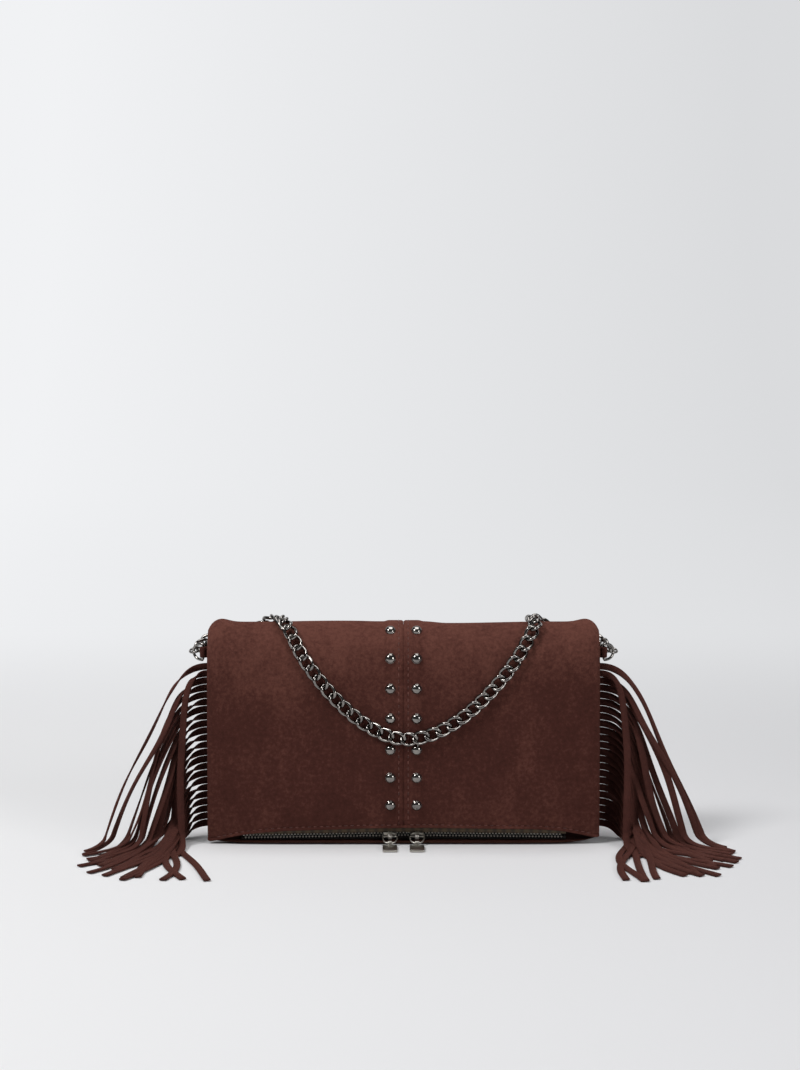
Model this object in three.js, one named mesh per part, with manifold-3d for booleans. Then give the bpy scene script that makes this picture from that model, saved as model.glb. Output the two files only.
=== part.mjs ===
// Fringed suede bag: a zipped pouch folded over on itself, with a curb chain, studs and side fringes.
// Millimetres, +Z up. X runs along the width, -Y is the front, and the bag stands on z = 0.
import * as THREE from 'three';
import { mergeVertices } from 'three/addons/utils/BufferGeometryUtils.js';
import Module from 'manifold-3d';

const wasm = await Module();
wasm.setup();

// Pouch sizes
const bagWidth = 270;
const foldTop = 154;          // height of the fold above the floor
const creaseDrop = 16;        // the pouch's thickness where it folds over
const bodyDepth = 38;         // front to back of the standing half, in the middle
const bodyBack = 21;          // how far the body's back lies behind the base point
const flapDepth = 12;         // thickness of the folded-over half
const flapGap = 2;            // air between the body's front and the flap
const bottomDepth = 19;       // depth of the flat bottom
const wall = 1.4;             // suede with its backing
const clearance = 0.3;        // gap that pieces which touch keep
const edgeFullness = 8;       // a higher power keeps the pouch full nearer to its side seams
const cornerPuff = 1.6;       // the fold's corners stand up a little
const liningEase = 0.8;       // the lining hangs a little free inside the suede
const seamRaise = 0.8;        // the centre seam's allowances lift the suede
const seamHalfWidth = 11;     // how far the allowances reach from the seam

// Zip end of the pouch
const hemHeight = 12;         // the front hem's edge above the floor, in the middle
const backHemHeight = 2;      // the back hem's edge above the floor
const leftHemDroop = 4.2;     // the front hem falls toward its left end
const rightHemDroop = 1.5;    // and less toward its right end
const zipHalfLength = 112;
const zipCentreHeight = 7.2;
const zipCentreY = -25.6;
const leftZipFall = 0.016;    // fall of the row of teeth for each millimetre along it
const rightZipFall = 0.01;
const toothPitch = 3.3;
const toothThickness = 2.0;
const toothEdge = 2.1;        // outer edge of a row of teeth, from the zip's middle
const toothRoot = 1.5;        // where the teeth spring from their cord
const tapeThickness = 0.6;
const tapeSeam = 9;           // height of tape sewn up inside the hem

// Studs and chain
const studRadius = 3.15;
const studHeight = 2.1;
const studColumn = 9;         // from the centre seam
const studHeights = [148.5, 129.2, 108.5, 87.9, 66.6, 47.2, 27.9];
const linkLength = 5.1;       // half length of a link's centreline
const linkWidth = 3.4;        // half width of a link's centreline
const linkTwist = 1.1;        // how far a link's wire rises and dips out of its plane
const linkPitch = 8.3;
const linkWire = 1.7;
const linkSegments = 8;       // facets round a link and round its wire
const linkSides = 4;
const swagBottom = 73.4;      // height of the lowest link on the front
const swagCentre = 3;
const swagLeft = 87.5;        // from the lowest link to where the chain crosses the fold
const swagRight = 89;

// Fringe
const strandCount = 23;
const strandPitch = 5;
const strandWidth = 4.3;
const strandThickness = 1.2;
const strandLength = 165;
const strandTwist = 13;       // length over which a strand turns from upright to flat
const fringeFoot = 7;         // height where the cut header begins
const headerDepth = 8;        // the part of the fringe sewn into the side seam
const headerThickness = 1.5;
const lowTurn = 105;          // degrees by which the lowest strand turns to the front
const leftTopTurn = 42;
const rightTopTurn = 32;
const lowSlope = 64;          // degrees below level at which the lowest strand falls
const leftTopSlope = 51;
const rightTopSlope = 58;
const hangingStrands = [21];  // strands that hang down in front of the others
const hangingTurn = 84;
const hangingSlope = 79;

// Rings that carry the chain
const ringHeight = 129.5;
const ringTabWidth = 7.5;
const stripThickness = 1.0;   // the narrow strip that holds each D-ring
const ringWire = 2.0;
const ringBar = 11;           // length of the D-ring's straight bar
const ringReach = 8.5;        // how far the D reaches from its bar
const ringBarReach = 4.1;     // from the side seam to the bar
const jumpRadius = 3.9;       // centreline of the round ring between the D-ring and the chain
const jumpWire = 1.6;

// Sliders and their pulls
const sliderPlace = 9.3;      // from the centre seam to each slider's middle
const sliderLength = 9;
const sliderWidth = 6;
const sliderPlate = 0.8;
const neckWidth = 0.8;        // the slider's neck, which runs between the two rows
const neckLength = 1.2;
const pullWire = 1.2;
const pullWidth = 10;
const pullReach = 8;
const pullTilt = 24;          // degrees below level at which the pull ring leans out
const tabWidth = 10;
const tabLength = 18;
const tabThickness = 1.5;

const halfWidth = bagWidth / 2;
const bodyFront = bodyBack - bodyDepth;
const flapInside = bodyFront - flapGap;
const flapFront = flapInside - flapDepth;
const seamHalf = wall + clearance + headerThickness / 2;
const flapSeamHalf = wall + clearance / 2;

// Materials

function material(name, colour, roughness, metalness) {
  const made = new THREE.MeshStandardMaterial({ color: colour, roughness, metalness });
  made.name = name;
  return made;
}

function suede() {
  return material('suede', 0x4a2a25, 0.95, 0);
}

function liningCloth() {
  return material('lining', 0x1d1614, 0.9, 0);
}

function tapeCloth(colour) {
  return material('zip_tape', colour, 0.85, 0);
}

function gunmetal() {
  return material('gunmetal', 0x77757a, 0.25, 1);
}

function dullNickel() {
  return material('dull_nickel', 0xa9a59c, 0.4, 1);
}

// Solids from rings and grids of points

function solidFrom(points, faces) {
  const geometry = new THREE.BufferGeometry();
  geometry.setAttribute('position', new THREE.Float32BufferAttribute(points.flatMap((p) => [p.x, p.y, p.z]), 3));
  let volume = 0;
  for (const [a, b, c] of faces) {
    volume += points[a].dot(new THREE.Vector3().crossVectors(points[b], points[c]));
  }
  const outward = volume > 0 ? faces : faces.map(([a, b, c]) => [a, c, b]);
  geometry.setIndex(outward.flat());
  return geometry;
}

// A row of rings, each with the same number of points, skinned into a solid. The row is open with a
// cap on each end, or closes on itself.
function skin(rings, closes) {
  const size = rings[0].length;
  const points = rings.flat();
  const faces = [];
  const spans = closes ? rings.length : rings.length - 1;
  for (let i = 0; i < spans; i++) {
    const next = (i + 1) % rings.length;
    for (let j = 0; j < size; j++) {
      const k = (j + 1) % size;
      faces.push([i * size + j, next * size + j, next * size + k]);
      faces.push([i * size + j, next * size + k, i * size + k]);
    }
  }
  if (!closes) {
    const last = (rings.length - 1) * size;
    for (const [a, b, c] of capFaces(rings[0])) faces.push([a, b, c]);
    for (const [a, b, c] of capFaces(rings[rings.length - 1])) faces.push([last + a, last + c, last + b]);
  }
  return solidFrom(points, faces);
}

// Triangles over an outline, which turn the same way as it does
function fillOutline(flat) {
  const triangles = THREE.ShapeUtils.triangulateShape(flat, []);
  const turn = triangles.reduce((sum, [a, b, c]) => sum + THREE.ShapeUtils.area([flat[a], flat[b], flat[c]]), 0);
  const agrees = turn * THREE.ShapeUtils.area(flat) > 0;
  return agrees ? triangles : triangles.map(([a, b, c]) => [a, c, b]);
}

// Triangles over a flat or nearly flat ring, which may be bent like the folded pouch's section
function capFaces(ring) {
  const normal = new THREE.Vector3();
  ring.forEach((p, i) => normal.add(new THREE.Vector3().crossVectors(p, ring[(i + 1) % ring.length])));
  normal.normalize();
  const across = new THREE.Vector3(0, 0, 1).cross(normal);
  if (across.lengthSq() < 0.1) across.set(0, 1, 0).cross(normal);
  across.normalize();
  const up = new THREE.Vector3().crossVectors(normal, across);
  return fillOutline(ring.map((p) => new THREE.Vector2(p.dot(across), p.dot(up))));
}

// Two grids of points, the outside and the inside of a sheet, closed along all four edges
function sheetSolid(outside, inside) {
  const rings = outside.map((row, i) => [...row, ...inside[i].slice().reverse()]);
  const size = rings[0].length;
  const across = outside[0].length;
  const points = rings.flat();
  const faces = [];
  for (let i = 0; i + 1 < rings.length; i++) {
    for (let j = 0; j < size; j++) {
      const k = (j + 1) % size;
      faces.push([i * size + j, (i + 1) * size + j, (i + 1) * size + k]);
      faces.push([i * size + j, (i + 1) * size + k, i * size + k]);
    }
  }
  const last = (rings.length - 1) * size;
  for (let j = 0; j + 1 < across; j++) {
    const a = j;
    const b = j + 1;
    const c = size - 2 - j;
    const d = size - 1 - j;
    faces.push([a, b, c], [a, c, d]);
    faces.push([last + a, last + c, last + b], [last + a, last + d, last + c]);
  }
  return solidFrom(points, faces);
}

function toManifold(geometry) {
  const bare = geometry.clone();
  bare.deleteAttribute('normal');
  bare.deleteAttribute('uv');
  const merged = mergeVertices(bare, 1e-4);
  return new wasm.Manifold(new wasm.Mesh({
    numProp: 3,
    vertProperties: new Float32Array(merged.attributes.position.array),
    triVerts: new Uint32Array(merged.index.array),
  }));
}

function fromManifold(solid) {
  const mesh = solid.getMesh();
  const geometry = new THREE.BufferGeometry();
  geometry.setAttribute('position', new THREE.Float32BufferAttribute(mesh.vertProperties, 3));
  geometry.setIndex(Array.from(mesh.triVerts));
  return geometry;
}

// Where many pieces cross, small pockets can be shut in between them: those are filled
function withoutPockets(solid) {
  const shells = solid.decompose().filter((shell) => shell.volume() > 0);
  return shells.reduce((all, next) => all.add(next));
}

function joined(geometries) {
  return fromManifold(withoutPockets(geometries.map(toManifold).reduce((all, next) => all.add(next))));
}

// The pouch's section, from the bottom seam at t = 0, up and over the fold, to the zip's hem at t = 1.
// The outer path is the back panel and the inner path the front panel; station by station they pair up.

const outerStations = [
  [bottomDepth / 2 - 0.5, 0],
  [bodyBack - 2, 12],
  [bodyBack - 0.5, 60],
  [bodyBack - 7, 126],
  [bodyBack - 23, foldTop],
  [flapFront + 7, foldTop - 15],
  [flapFront, 90],
  [flapFront - 1, 42],
  [flapFront + 1.2, hemHeight],
];
const innerStations = [
  [-bottomDepth / 2 - 0.5, 0],
  [bodyFront + 1, 12],
  [bodyFront - 0.5, 60],
  [bodyFront + 6, 125],
  [bodyFront + 8, foldTop - creaseDrop],
  [flapInside + 3, 120],
  [flapInside + 0.3, 82],
  [flapInside - 1, 32],
  [flapInside + 0.3, backHemHeight],
];
const lastStation = outerStations.length - 1;
const foldStation = 4 / lastStation;

function spline(stations) {
  return new THREE.SplineCurve(stations.map(([y, z]) => new THREE.Vector2(y, z)));
}

const outerPath = spline(outerStations);
const innerPath = spline(innerStations);
const middlePath = spline(outerStations.map(([y, z], i) => {
  return [(y + innerStations[i][0]) / 2, (z + innerStations[i][1]) / 2];
}));

// The side of a path that faces away from the pouch's inside, for the outer path
function pathNormal(path, t) {
  const step = 1e-3;
  const from = path.getPoint(Math.max(0, t - step));
  const to = path.getPoint(Math.min(1, t + step));
  const along = to.sub(from).normalize();
  return new THREE.Vector2(along.y, -along.x);
}

function smooth(from, to, value) {
  return THREE.MathUtils.smoothstep(value, from, to);
}

// How full the pouch is at a place along its width: 1 in the middle and 0 on the side seams
function fullness(x) {
  return 1 - Math.min(1, Math.abs(x) / halfWidth) ** edgeFullness;
}

function seamRidge(x) {
  const away = Math.abs(x);
  return seamRaise * smooth(0, 2, away) * (1 - smooth(seamHalfWidth, seamHalfWidth + 2.5, away));
}

function hemDroop(x) {
  return (x < 0 ? leftHemDroop : rightHemDroop) * Math.abs(x) / halfWidth;
}

function seamGap(t) {
  return THREE.MathUtils.lerp(seamHalf, flapSeamHalf, smooth(foldStation - 0.06, foldStation + 0.08, t));
}

// A point of the pouch, sunk below its outside by inset
function pouchPoint(isOuter, t, x, inset) {
  const path = isOuter ? outerPath : innerPath;
  const sign = isOuter ? 1 : -1;
  const full = fullness(x);
  const ridge = isOuter ? seamRidge(x) : 0;
  const face = path.getPoint(t).addScaledVector(pathNormal(path, t), sign * (ridge - inset));
  const side = middlePath.getPoint(t).addScaledVector(pathNormal(middlePath, t), sign * (seamGap(t) - inset));
  const place = side.lerp(face, full);
  const droop = hemDroop(x) * smooth(0.7, 1, t) * (isOuter ? 1 : 1 - full);
  const puff = cornerPuff * Math.exp(-(((Math.abs(x) - halfWidth + 9) / 7) ** 2)) * smooth(120, foldTop - 8, place.y);
  const floor = t > foldStation ? clearance : inset;
  return new THREE.Vector3(x, place.x, Math.max(floor, place.y - droop + puff));
}

function pouchNormal(t, x) {
  const step = 0.004;
  const along = pouchPoint(true, Math.min(1, t + step), x, 0).sub(pouchPoint(true, t - step, x, 0));
  const across = pouchPoint(true, t, x + 0.6, 0).sub(pouchPoint(true, t, x - 0.6, 0));
  return along.cross(across).normalize();
}

// Stations along the section, closer together where it bends
function sectionSteps() {
  const parts = [2, 2, 2, 3, 4, 4, 2, 2];
  const steps = [0];
  parts.forEach((count, i) => {
    for (let k = 1; k <= count; k++) steps.push((i + k / count) / lastStation);
  });
  return steps;
}

// Places along half the width that every layer of the pouch shares, closer together toward the seam
const layerSteps = [0.41, 0.7, 0.87].map((share) => share * halfWidth);
const seamSteps = [halfWidth - 5, halfWidth];

// One half of the back panel: up the back, over the fold and down the flap's front to the hem
function backPanel(side) {
  const ridge = [clearance / 2, 2, seamHalfWidth, seamHalfWidth + 2.5];
  const columns = [...ridge, ...layerSteps, ...seamSteps].map((x) => side * x);
  const outside = sectionSteps().map((t) => columns.map((x) => pouchPoint(true, t, x, 0)));
  const inside = sectionSteps().map((t) => columns.map((x) => pouchPoint(true, t, x, wall)));
  return sheetSolid(outside, inside);
}

// The front panel: forward across the bottom, up the body's front, round the crease and down the
// flap's inside to the back hem
function frontPanel() {
  const half = [0, ...layerSteps, ...seamSteps];
  const columns = [...half.slice(1).reverse().map((x) => -x), ...half];
  const rim = (x, inset, share) => {
    const seam = pouchPoint(true, 0, x, wall + clearance).y;
    const front = pouchPoint(false, 0, x, inset).y;
    return new THREE.Vector3(x, THREE.MathUtils.lerp(seam, front, share), inset);
  };
  const rows = (inset) => [
    columns.map((x) => rim(x, inset, 0)),
    columns.map((x) => rim(x, inset, 0.5)),
    ...sectionSteps().map((t) => columns.map((x) => pouchPoint(false, t, x, inset))),
  ];
  return sheetSolid(rows(0), rows(wall));
}

// The closed inner pocket, drawn as the one solid that fills the pouch
function liningPocket() {
  const last = 1 - tapeSeam * 1.7 / 320;
  const steps = sectionSteps().filter((t) => t < last - 0.02);
  const inset = wall + liningEase;
  const columns = [...layerSteps.slice().reverse().map((x) => -x), ...layerSteps];
  const rings = columns.map((x) => [
    ...steps.map((t) => pouchPoint(true, t, x, inset + seamRidge(x))),
    ...steps.slice().reverse().map((t) => pouchPoint(false, t, x, inset)),
  ]);
  return skin(rings, false);
}

// Zip

function zipHeight(x) {
  return zipCentreHeight - Math.abs(x) * (x < 0 ? leftZipFall : rightZipFall);
}

// In the mouth's plane, across the zip from the front hem to the back hem, and out of the plane
const zipAcross = new THREE.Vector3(0, 0.576, -0.818).normalize();
const zipOut = new THREE.Vector3(0, zipAcross.z, -zipAcross.y);

function zipPoint(x, across, out) {
  return new THREE.Vector3(x, zipCentreY, zipHeight(x))
    .addScaledVector(zipAcross, across)
    .addScaledVector(zipOut, out);
}

const zipStations = [-1, -0.87, -0.67, -0.34, 0, 0.34, 0.67, 0.87, 1].map((share) => share * zipHalfLength);
const tapeBend = 0.999;
const backTapeBend = 0.995;

// A tape runs from its seam inside the hem, past the hem's edge, to the teeth. Round the back hem's
// sharp edge its inner layer turns sooner.
function zipTape(isFront) {
  const side = isFront ? -1 : 1;
  const edge = side * (toothEdge + clearance);
  const sewn = isFront ? 1 - tapeSeam / 300 : 1 - tapeSeam / 280;
  const layer = (inset, out, bend) => zipStations.map((x) => {
    const ridge = isFront ? seamRidge(x) : 0;
    return [
      pouchPoint(isFront, sewn, x, inset + ridge),
      pouchPoint(isFront, bend, x, inset + ridge),
      zipPoint(x, edge, out),
    ];
  });
  const near = wall + clearance;
  const far = near + tapeThickness;
  return sheetSolid(layer(near, tapeThickness / 2, tapeBend),
    layer(far, -tapeThickness / 2, isFront ? tapeBend : backTapeBend));
}

// A row of teeth on its cord: a saw edge whose points stop beside the sliders' necks
function zipTeeth(isFront) {
  const side = isFront ? -1 : 1;
  const tip = neckWidth / 2 + clearance;
  const half = toothThickness / 2;
  const count = Math.floor(zipHalfLength / toothPitch) * 2;
  const rings = [];
  for (let i = -count; i <= count; i++) {
    const x = i * toothPitch / 2;
    const isTip = (i % 2 === 0) === isFront;
    const reach = side * (isTip ? tip : toothRoot);
    rings.push([zipPoint(x, side * toothEdge, 0), zipPoint(x, reach, half), zipPoint(x, reach, -half)]);
  }
  return skin(rings, false);
}

// A block given by its ranges along the zip, across it and out of it
function zipBlock(x0, x1, across0, across1, out0, out1) {
  const block = new THREE.BoxGeometry(x1 - x0, across1 - across0, out1 - out0);
  block.translate((x0 + x1) / 2, (across0 + across1) / 2, (out0 + out1) / 2);
  return block;
}

// A slider's plate: square at the tail, rounded in to a narrow nose
function sliderPlateShape(side) {
  const half = sliderWidth / 2;
  const tail = sliderLength / 2;
  const shape = new THREE.Shape();
  shape.moveTo(side * tail, -half * 0.8);
  shape.lineTo(side * tail, half * 0.8);
  shape.lineTo(0, half);
  shape.quadraticCurveTo(-side * tail * 0.9, half * 0.9, -side * tail, half * 0.35);
  shape.lineTo(-side * tail, -half * 0.35);
  shape.quadraticCurveTo(-side * tail * 0.9, -half * 0.9, 0, -half);
  return shape;
}

const channelHalf = toothThickness / 2 + clearance / 2;
const barOut = channelHalf + sliderPlate + clearance + pullWire / 2;

// Plates over and under the teeth, joined at the nose by a neck, with lips along the sides and a
// bridge that holds the pull ring
function slider(side) {
  const plate = new THREE.ExtrudeGeometry(sliderPlateShape(side), {
    depth: sliderPlate, bevelEnabled: false, curveSegments: 4,
  });
  const top = plate.clone().translate(0, 0, channelHalf);
  const under = plate.clone().translate(0, 0, -channelHalf - sliderPlate);
  const half = sliderWidth / 2;
  const nose = -side * sliderLength / 2;
  const neckEnd = nose + side * neckLength;
  const neck = zipBlock(Math.min(nose, neckEnd), Math.max(nose, neckEnd),
    -neckWidth / 2, neckWidth / 2, -channelHalf - 0.2, channelHalf + 0.2);
  const lipInner = half - 0.6;
  const lips = [];
  for (const way of [-1, 1]) {
    const near = Math.min(way * lipInner, way * half);
    lips.push(zipBlock(-1.5, 1.5, near, near + 0.6, 0.7, channelHalf + 0.3));
    lips.push(zipBlock(-1.5, 1.5, near, near + 0.6, -channelHalf - 0.3, -0.7));
  }
  const holeTop = barOut + pullWire / 2 + clearance;
  const legs = [];
  for (const way of [-1, 1]) {
    const inner = way * (pullWire / 2 + clearance);
    const outer = inner + way * 0.8;
    legs.push(zipBlock(-1.3, 1.3, Math.min(inner, outer), Math.max(inner, outer), channelHalf + 0.4, holeTop + 0.1));
  }
  const roofHalf = pullWire / 2 + clearance + 0.8;
  const roof = zipBlock(-1.3, 1.3, -roofHalf, roofHalf, holeTop, holeTop + 0.8);
  return joined([top, under, neck, ...lips, ...legs, roof]);
}

// Turns a piece drawn as along, across and out into its place on the zip at x
function placeOnZip(geometry, side) {
  const x = side * sliderPlace;
  const along = zipPoint(x + 1, 0, 0).sub(zipPoint(x, 0, 0)).normalize();
  const out = new THREE.Vector3().crossVectors(zipAcross, along).normalize();
  const across = new THREE.Vector3().crossVectors(out, along);
  const place = new THREE.Matrix4().makeBasis(along, across, out).setPosition(zipPoint(x, 0, 0));
  return geometry.applyMatrix4(place);
}

// A round wire bent along a closed line of points
function wireLoop(points, radius, sides, normal) {
  const rings = points.map((point, i) => {
    const before = points[(i + points.length - 1) % points.length];
    const after = points[(i + 1) % points.length];
    const along = after.clone().sub(before).normalize();
    const first = normal.clone().addScaledVector(along, -normal.dot(along)).normalize();
    const second = new THREE.Vector3().crossVectors(along, first);
    const ring = [];
    for (let k = 0; k < sides; k++) {
      const angle = (k / sides) * 2 * Math.PI;
      ring.push(point.clone()
        .addScaledVector(first, radius * Math.cos(angle))
        .addScaledVector(second, radius * Math.sin(angle)));
    }
    return ring;
  });
  return skin(rings, true);
}

// A D in its own plane: its bar lies along v at u = 0 and its bow reaches out to u = reach
function dOutline(bar, reach, corners) {
  const points = [];
  const half = bar / 2;
  const steps = corners * 4;
  points.push([0, -half + 1], [0, half - 1]);
  for (let i = 0; i <= steps; i++) {
    const angle = Math.PI / 2 - (i / steps) * Math.PI;
    const round = Math.sign(Math.cos(angle)) * Math.abs(Math.cos(angle)) ** 0.8;
    points.push([0.7 + (reach - 0.7) * round, half * Math.sin(angle)]);
  }
  return points;
}

const tilt = THREE.MathUtils.degToRad(pullTilt);
const pullDown = new THREE.Vector3(0, -Math.cos(tilt), -Math.sin(tilt));

function pullBar(side) {
  return zipPoint(side * sliderPlace, 0, barOut);
}

// The D-shaped ring whose bar turns under the slider's bridge
function pullRing(side) {
  const bar = pullBar(side);
  const normal = new THREE.Vector3(1, 0, 0).cross(pullDown);
  const points = dOutline(pullWidth, pullReach, 2).map(([u, v]) => {
    return bar.clone().addScaledVector(pullDown, u).add(new THREE.Vector3(v, 0, 0));
  });
  return wireLoop(points, pullWire / 2, 6, normal);
}

const eyeInner = pullWire / 2 + clearance;
const eyeOuter = eyeInner + 0.9;

// The flat pull, curled at one end into an eye round the ring's bow
function pullTab(side) {
  const eye = pullBar(side).addScaledVector(pullDown, pullReach);
  const ringShape = new THREE.Shape();
  ringShape.absarc(0, 0, eyeOuter, 0, 2 * Math.PI, false);
  const hole = new THREE.Path();
  hole.absarc(0, 0, eyeInner, 0, 2 * Math.PI, true);
  ringShape.holes.push(hole);
  const eyeWidth = 3;
  const curl = new THREE.ExtrudeGeometry(ringShape, { depth: eyeWidth, bevelEnabled: false, curveSegments: 6 });
  curl.rotateY(Math.PI / 2).translate(-eyeWidth / 2, 0, 0);
  const level = clearance + tabThickness / 2 - eye.z;
  const stemLength = 3;
  const stem = new THREE.BoxGeometry(eyeWidth, stemLength, tabThickness);
  stem.translate(0, -eyeInner - stemLength / 2, level);
  const outline = new THREE.Shape();
  const corner = 1.5;
  const half = tabWidth / 2;
  const start = -eyeInner - stemLength + 0.5;
  const end = start - tabLength;
  outline.moveTo(-half + corner, start);
  outline.lineTo(half - corner, start);
  outline.quadraticCurveTo(half, start, half, start - corner);
  outline.lineTo(half, end + corner);
  outline.quadraticCurveTo(half, end, half - corner, end);
  outline.lineTo(-half + corner, end);
  outline.quadraticCurveTo(-half, end, -half, end + corner);
  outline.lineTo(-half, start - corner);
  outline.quadraticCurveTo(-half, start, -half + corner, start);
  const blade = new THREE.ExtrudeGeometry(outline, { depth: tabThickness, bevelEnabled: false, curveSegments: 2 });
  blade.translate(0, 0, level - tabThickness / 2);
  return joined([curl, stem, blade]).translate(eye.x, eye.y, eye.z);
}

// Studs

// The place along the section where the flap's front has a given height at x
function frontStation(x, z) {
  let high = foldStation;
  let low = 1;
  for (let i = 0; i < 30; i++) {
    const middle = (high + low) / 2;
    if (pouchPoint(true, middle, x, 0).z > z) high = middle;
    else low = middle;
  }
  return (high + low) / 2;
}

function stud(x, z) {
  const t = frontStation(x, z);
  const normal = pouchNormal(t, x);
  const profile = [[0, 0], [studRadius, 0], [studRadius, 0.3], [studRadius * 0.72, studHeight * 0.78], [0, studHeight]];
  const dome = new THREE.LatheGeometry(profile.map(([r, h]) => new THREE.Vector2(r, h)), 10);
  const turn = new THREE.Quaternion().setFromUnitVectors(new THREE.Vector3(0, 1, 0), normal);
  dome.applyQuaternion(turn);
  const seat = pouchPoint(true, t, x, 0).addScaledVector(normal, clearance);
  return dome.translate(seat.x, seat.y, seat.z);
}

// The pouch's middle depth at a height on its standing half
function middleDepth(z) {
  let low = 0;
  let high = foldStation;
  for (let i = 0; i < 30; i++) {
    const middle = (low + high) / 2;
    if (middlePath.getPoint(middle).y < z) low = middle;
    else high = middle;
  }
  return middlePath.getPoint(low).x;
}

// Where the chain hangs: the D-ring's bar stands beside the side seam, its bow points out and back,
// and the round ring and the chain pull back, in and up from there

function ringBarCentre(side) {
  return new THREE.Vector3(side * (halfWidth + ringBarReach), middleDepth(ringHeight), ringHeight);
}

function bowDirection(side) {
  return new THREE.Vector3(side * 0.8, 0.6, 0);
}

function pullDirection(side) {
  return new THREE.Vector3(-side * 0.6, 0.72, 0.35).normalize();
}

function jumpCentre(side) {
  const inside = jumpRadius - jumpWire / 2 - ringWire / 2 - clearance;
  return ringBarCentre(side)
    .addScaledVector(bowDirection(side), ringReach)
    .addScaledVector(pullDirection(side), inside);
}

function endLinkCentre(side) {
  const inside = linkLength - linkWire / 2 - jumpWire / 2 - clearance;
  return jumpCentre(side).addScaledVector(pullDirection(side), jumpRadius + inside);
}

// Level and square to the chain's pull, away from the bag
function endOut(side) {
  const pull = pullDirection(side);
  return new THREE.Vector3(side * pull.y, -side * pull.x, 0).normalize();
}

// Chain

const linkRise = linkTwist + linkWire / 2 + clearance;

// The chain's route over the pouch, as places and outward directions
function chainRoute() {
  const places = [];
  const normals = [];
  const lay = (t, x, lift) => {
    const normal = pouchNormal(t, x);
    places.push(pouchPoint(true, t, x, 0).addScaledVector(normal, linkRise + lift));
    normals.push(normal);
  };
  const hang = (side, links) => {
    places.push(endLinkCentre(side).addScaledVector(pullDirection(side), links * linkPitch));
    normals.push(endOut(side));
  };
  const foldLift = 1.3;
  const behind = (side) => [[foldStation - 0.02, swagLeft + 2], [0.44, 100], [0.41, 113]]
    .map(([t, x]) => [t, side * x]);
  hang(-1, 0);
  hang(-1, 1);
  for (const [t, x] of behind(-1).reverse()) lay(t, x, foldLift);
  const steps = 14;
  for (let i = 0; i <= steps; i++) {
    const share = (i / steps) * 2 - 1;
    const span = share < 0 ? swagLeft : swagRight;
    const x = swagCentre + share * span;
    const rise = (foldTop - 4 - swagBottom) * Math.abs(share) ** 1.95;
    const t = frontStation(x, swagBottom + rise);
    const overFold = foldLift * smooth(0.8, 1, Math.abs(share));
    const overRidge = 0.5 * (1 - smooth(0, 0.25, Math.abs(share)));
    lay(t, x, 0.1 + overFold + overRidge);
  }
  for (const [t, x] of behind(1)) lay(t, x, foldLift);
  hang(1, 1);
  hang(1, 0);
  return {
    line: new THREE.CatmullRomCurve3(places, false, 'centripetal'),
    facing: new THREE.CatmullRomCurve3(normals, false, 'centripetal'),
    count: places.length,
  };
}

// A curb link: an oval of wire, twisted so that the links lie flat in each other
function chainLink(place, along, out) {
  const across = new THREE.Vector3().crossVectors(out, along);
  const points = [];
  for (let i = 0; i < linkSegments; i++) {
    const angle = (i / linkSegments) * 2 * Math.PI;
    points.push(place.clone()
      .addScaledVector(along, linkLength * Math.cos(angle))
      .addScaledVector(across, linkWidth * Math.sin(angle))
      .addScaledVector(out, linkTwist * Math.sin(2 * angle)));
  }
  return wireLoop(points, linkWire / 2, linkSides, out);
}

function chainPlaces() {
  const route = chainRoute();
  const count = Math.round(route.line.getLength() / linkPitch);
  const places = [];
  for (let i = 0; i <= count; i++) {
    const t = route.line.getUtoTmapping(i / count);
    const along = route.line.getTangent(t).normalize();
    const facing = routeFacing(route, t);
    const out = facing.addScaledVector(along, -facing.dot(along)).normalize();
    places.push({ place: route.line.getPoint(t), along, out });
  }
  return places;
}

function routeFacing(route, t) {
  const at = t * (route.count - 1);
  const before = Math.floor(Math.min(at, route.count - 2));
  const a = route.facing.points[before];
  const b = route.facing.points[before + 1];
  return a.clone().lerp(b, at - before).normalize();
}

function chain() {
  return joined(chainPlaces().map(({ place, along, out }) => chainLink(place, along, out)));
}

// The round ring through the chain's last link and the D-ring's bow
function jumpRing(side) {
  const away = pullDirection(side);
  const out = endOut(side);
  const normal = new THREE.Vector3().crossVectors(away, out);
  const centre = jumpCentre(side);
  const points = [];
  for (let i = 0; i < 12; i++) {
    const angle = (i / 12) * 2 * Math.PI;
    points.push(centre.clone()
      .addScaledVector(away, jumpRadius * Math.cos(angle))
      .addScaledVector(out, jumpRadius * Math.sin(angle)));
  }
  return wireLoop(points, jumpWire / 2, 6, normal);
}

// The D-ring, whose bar stands in the suede loop and whose bow carries the round ring
function dRing(side) {
  const bar = ringBarCentre(side);
  const bow = bowDirection(side);
  const normal = new THREE.Vector3().crossVectors(bow, new THREE.Vector3(0, 0, 1));
  const points = dOutline(ringBar, ringReach, 3).map(([u, v]) => {
    return bar.clone().addScaledVector(bow, u).add(new THREE.Vector3(0, 0, v));
  });
  return wireLoop(points, ringWire / 2, 6, normal);
}

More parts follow.
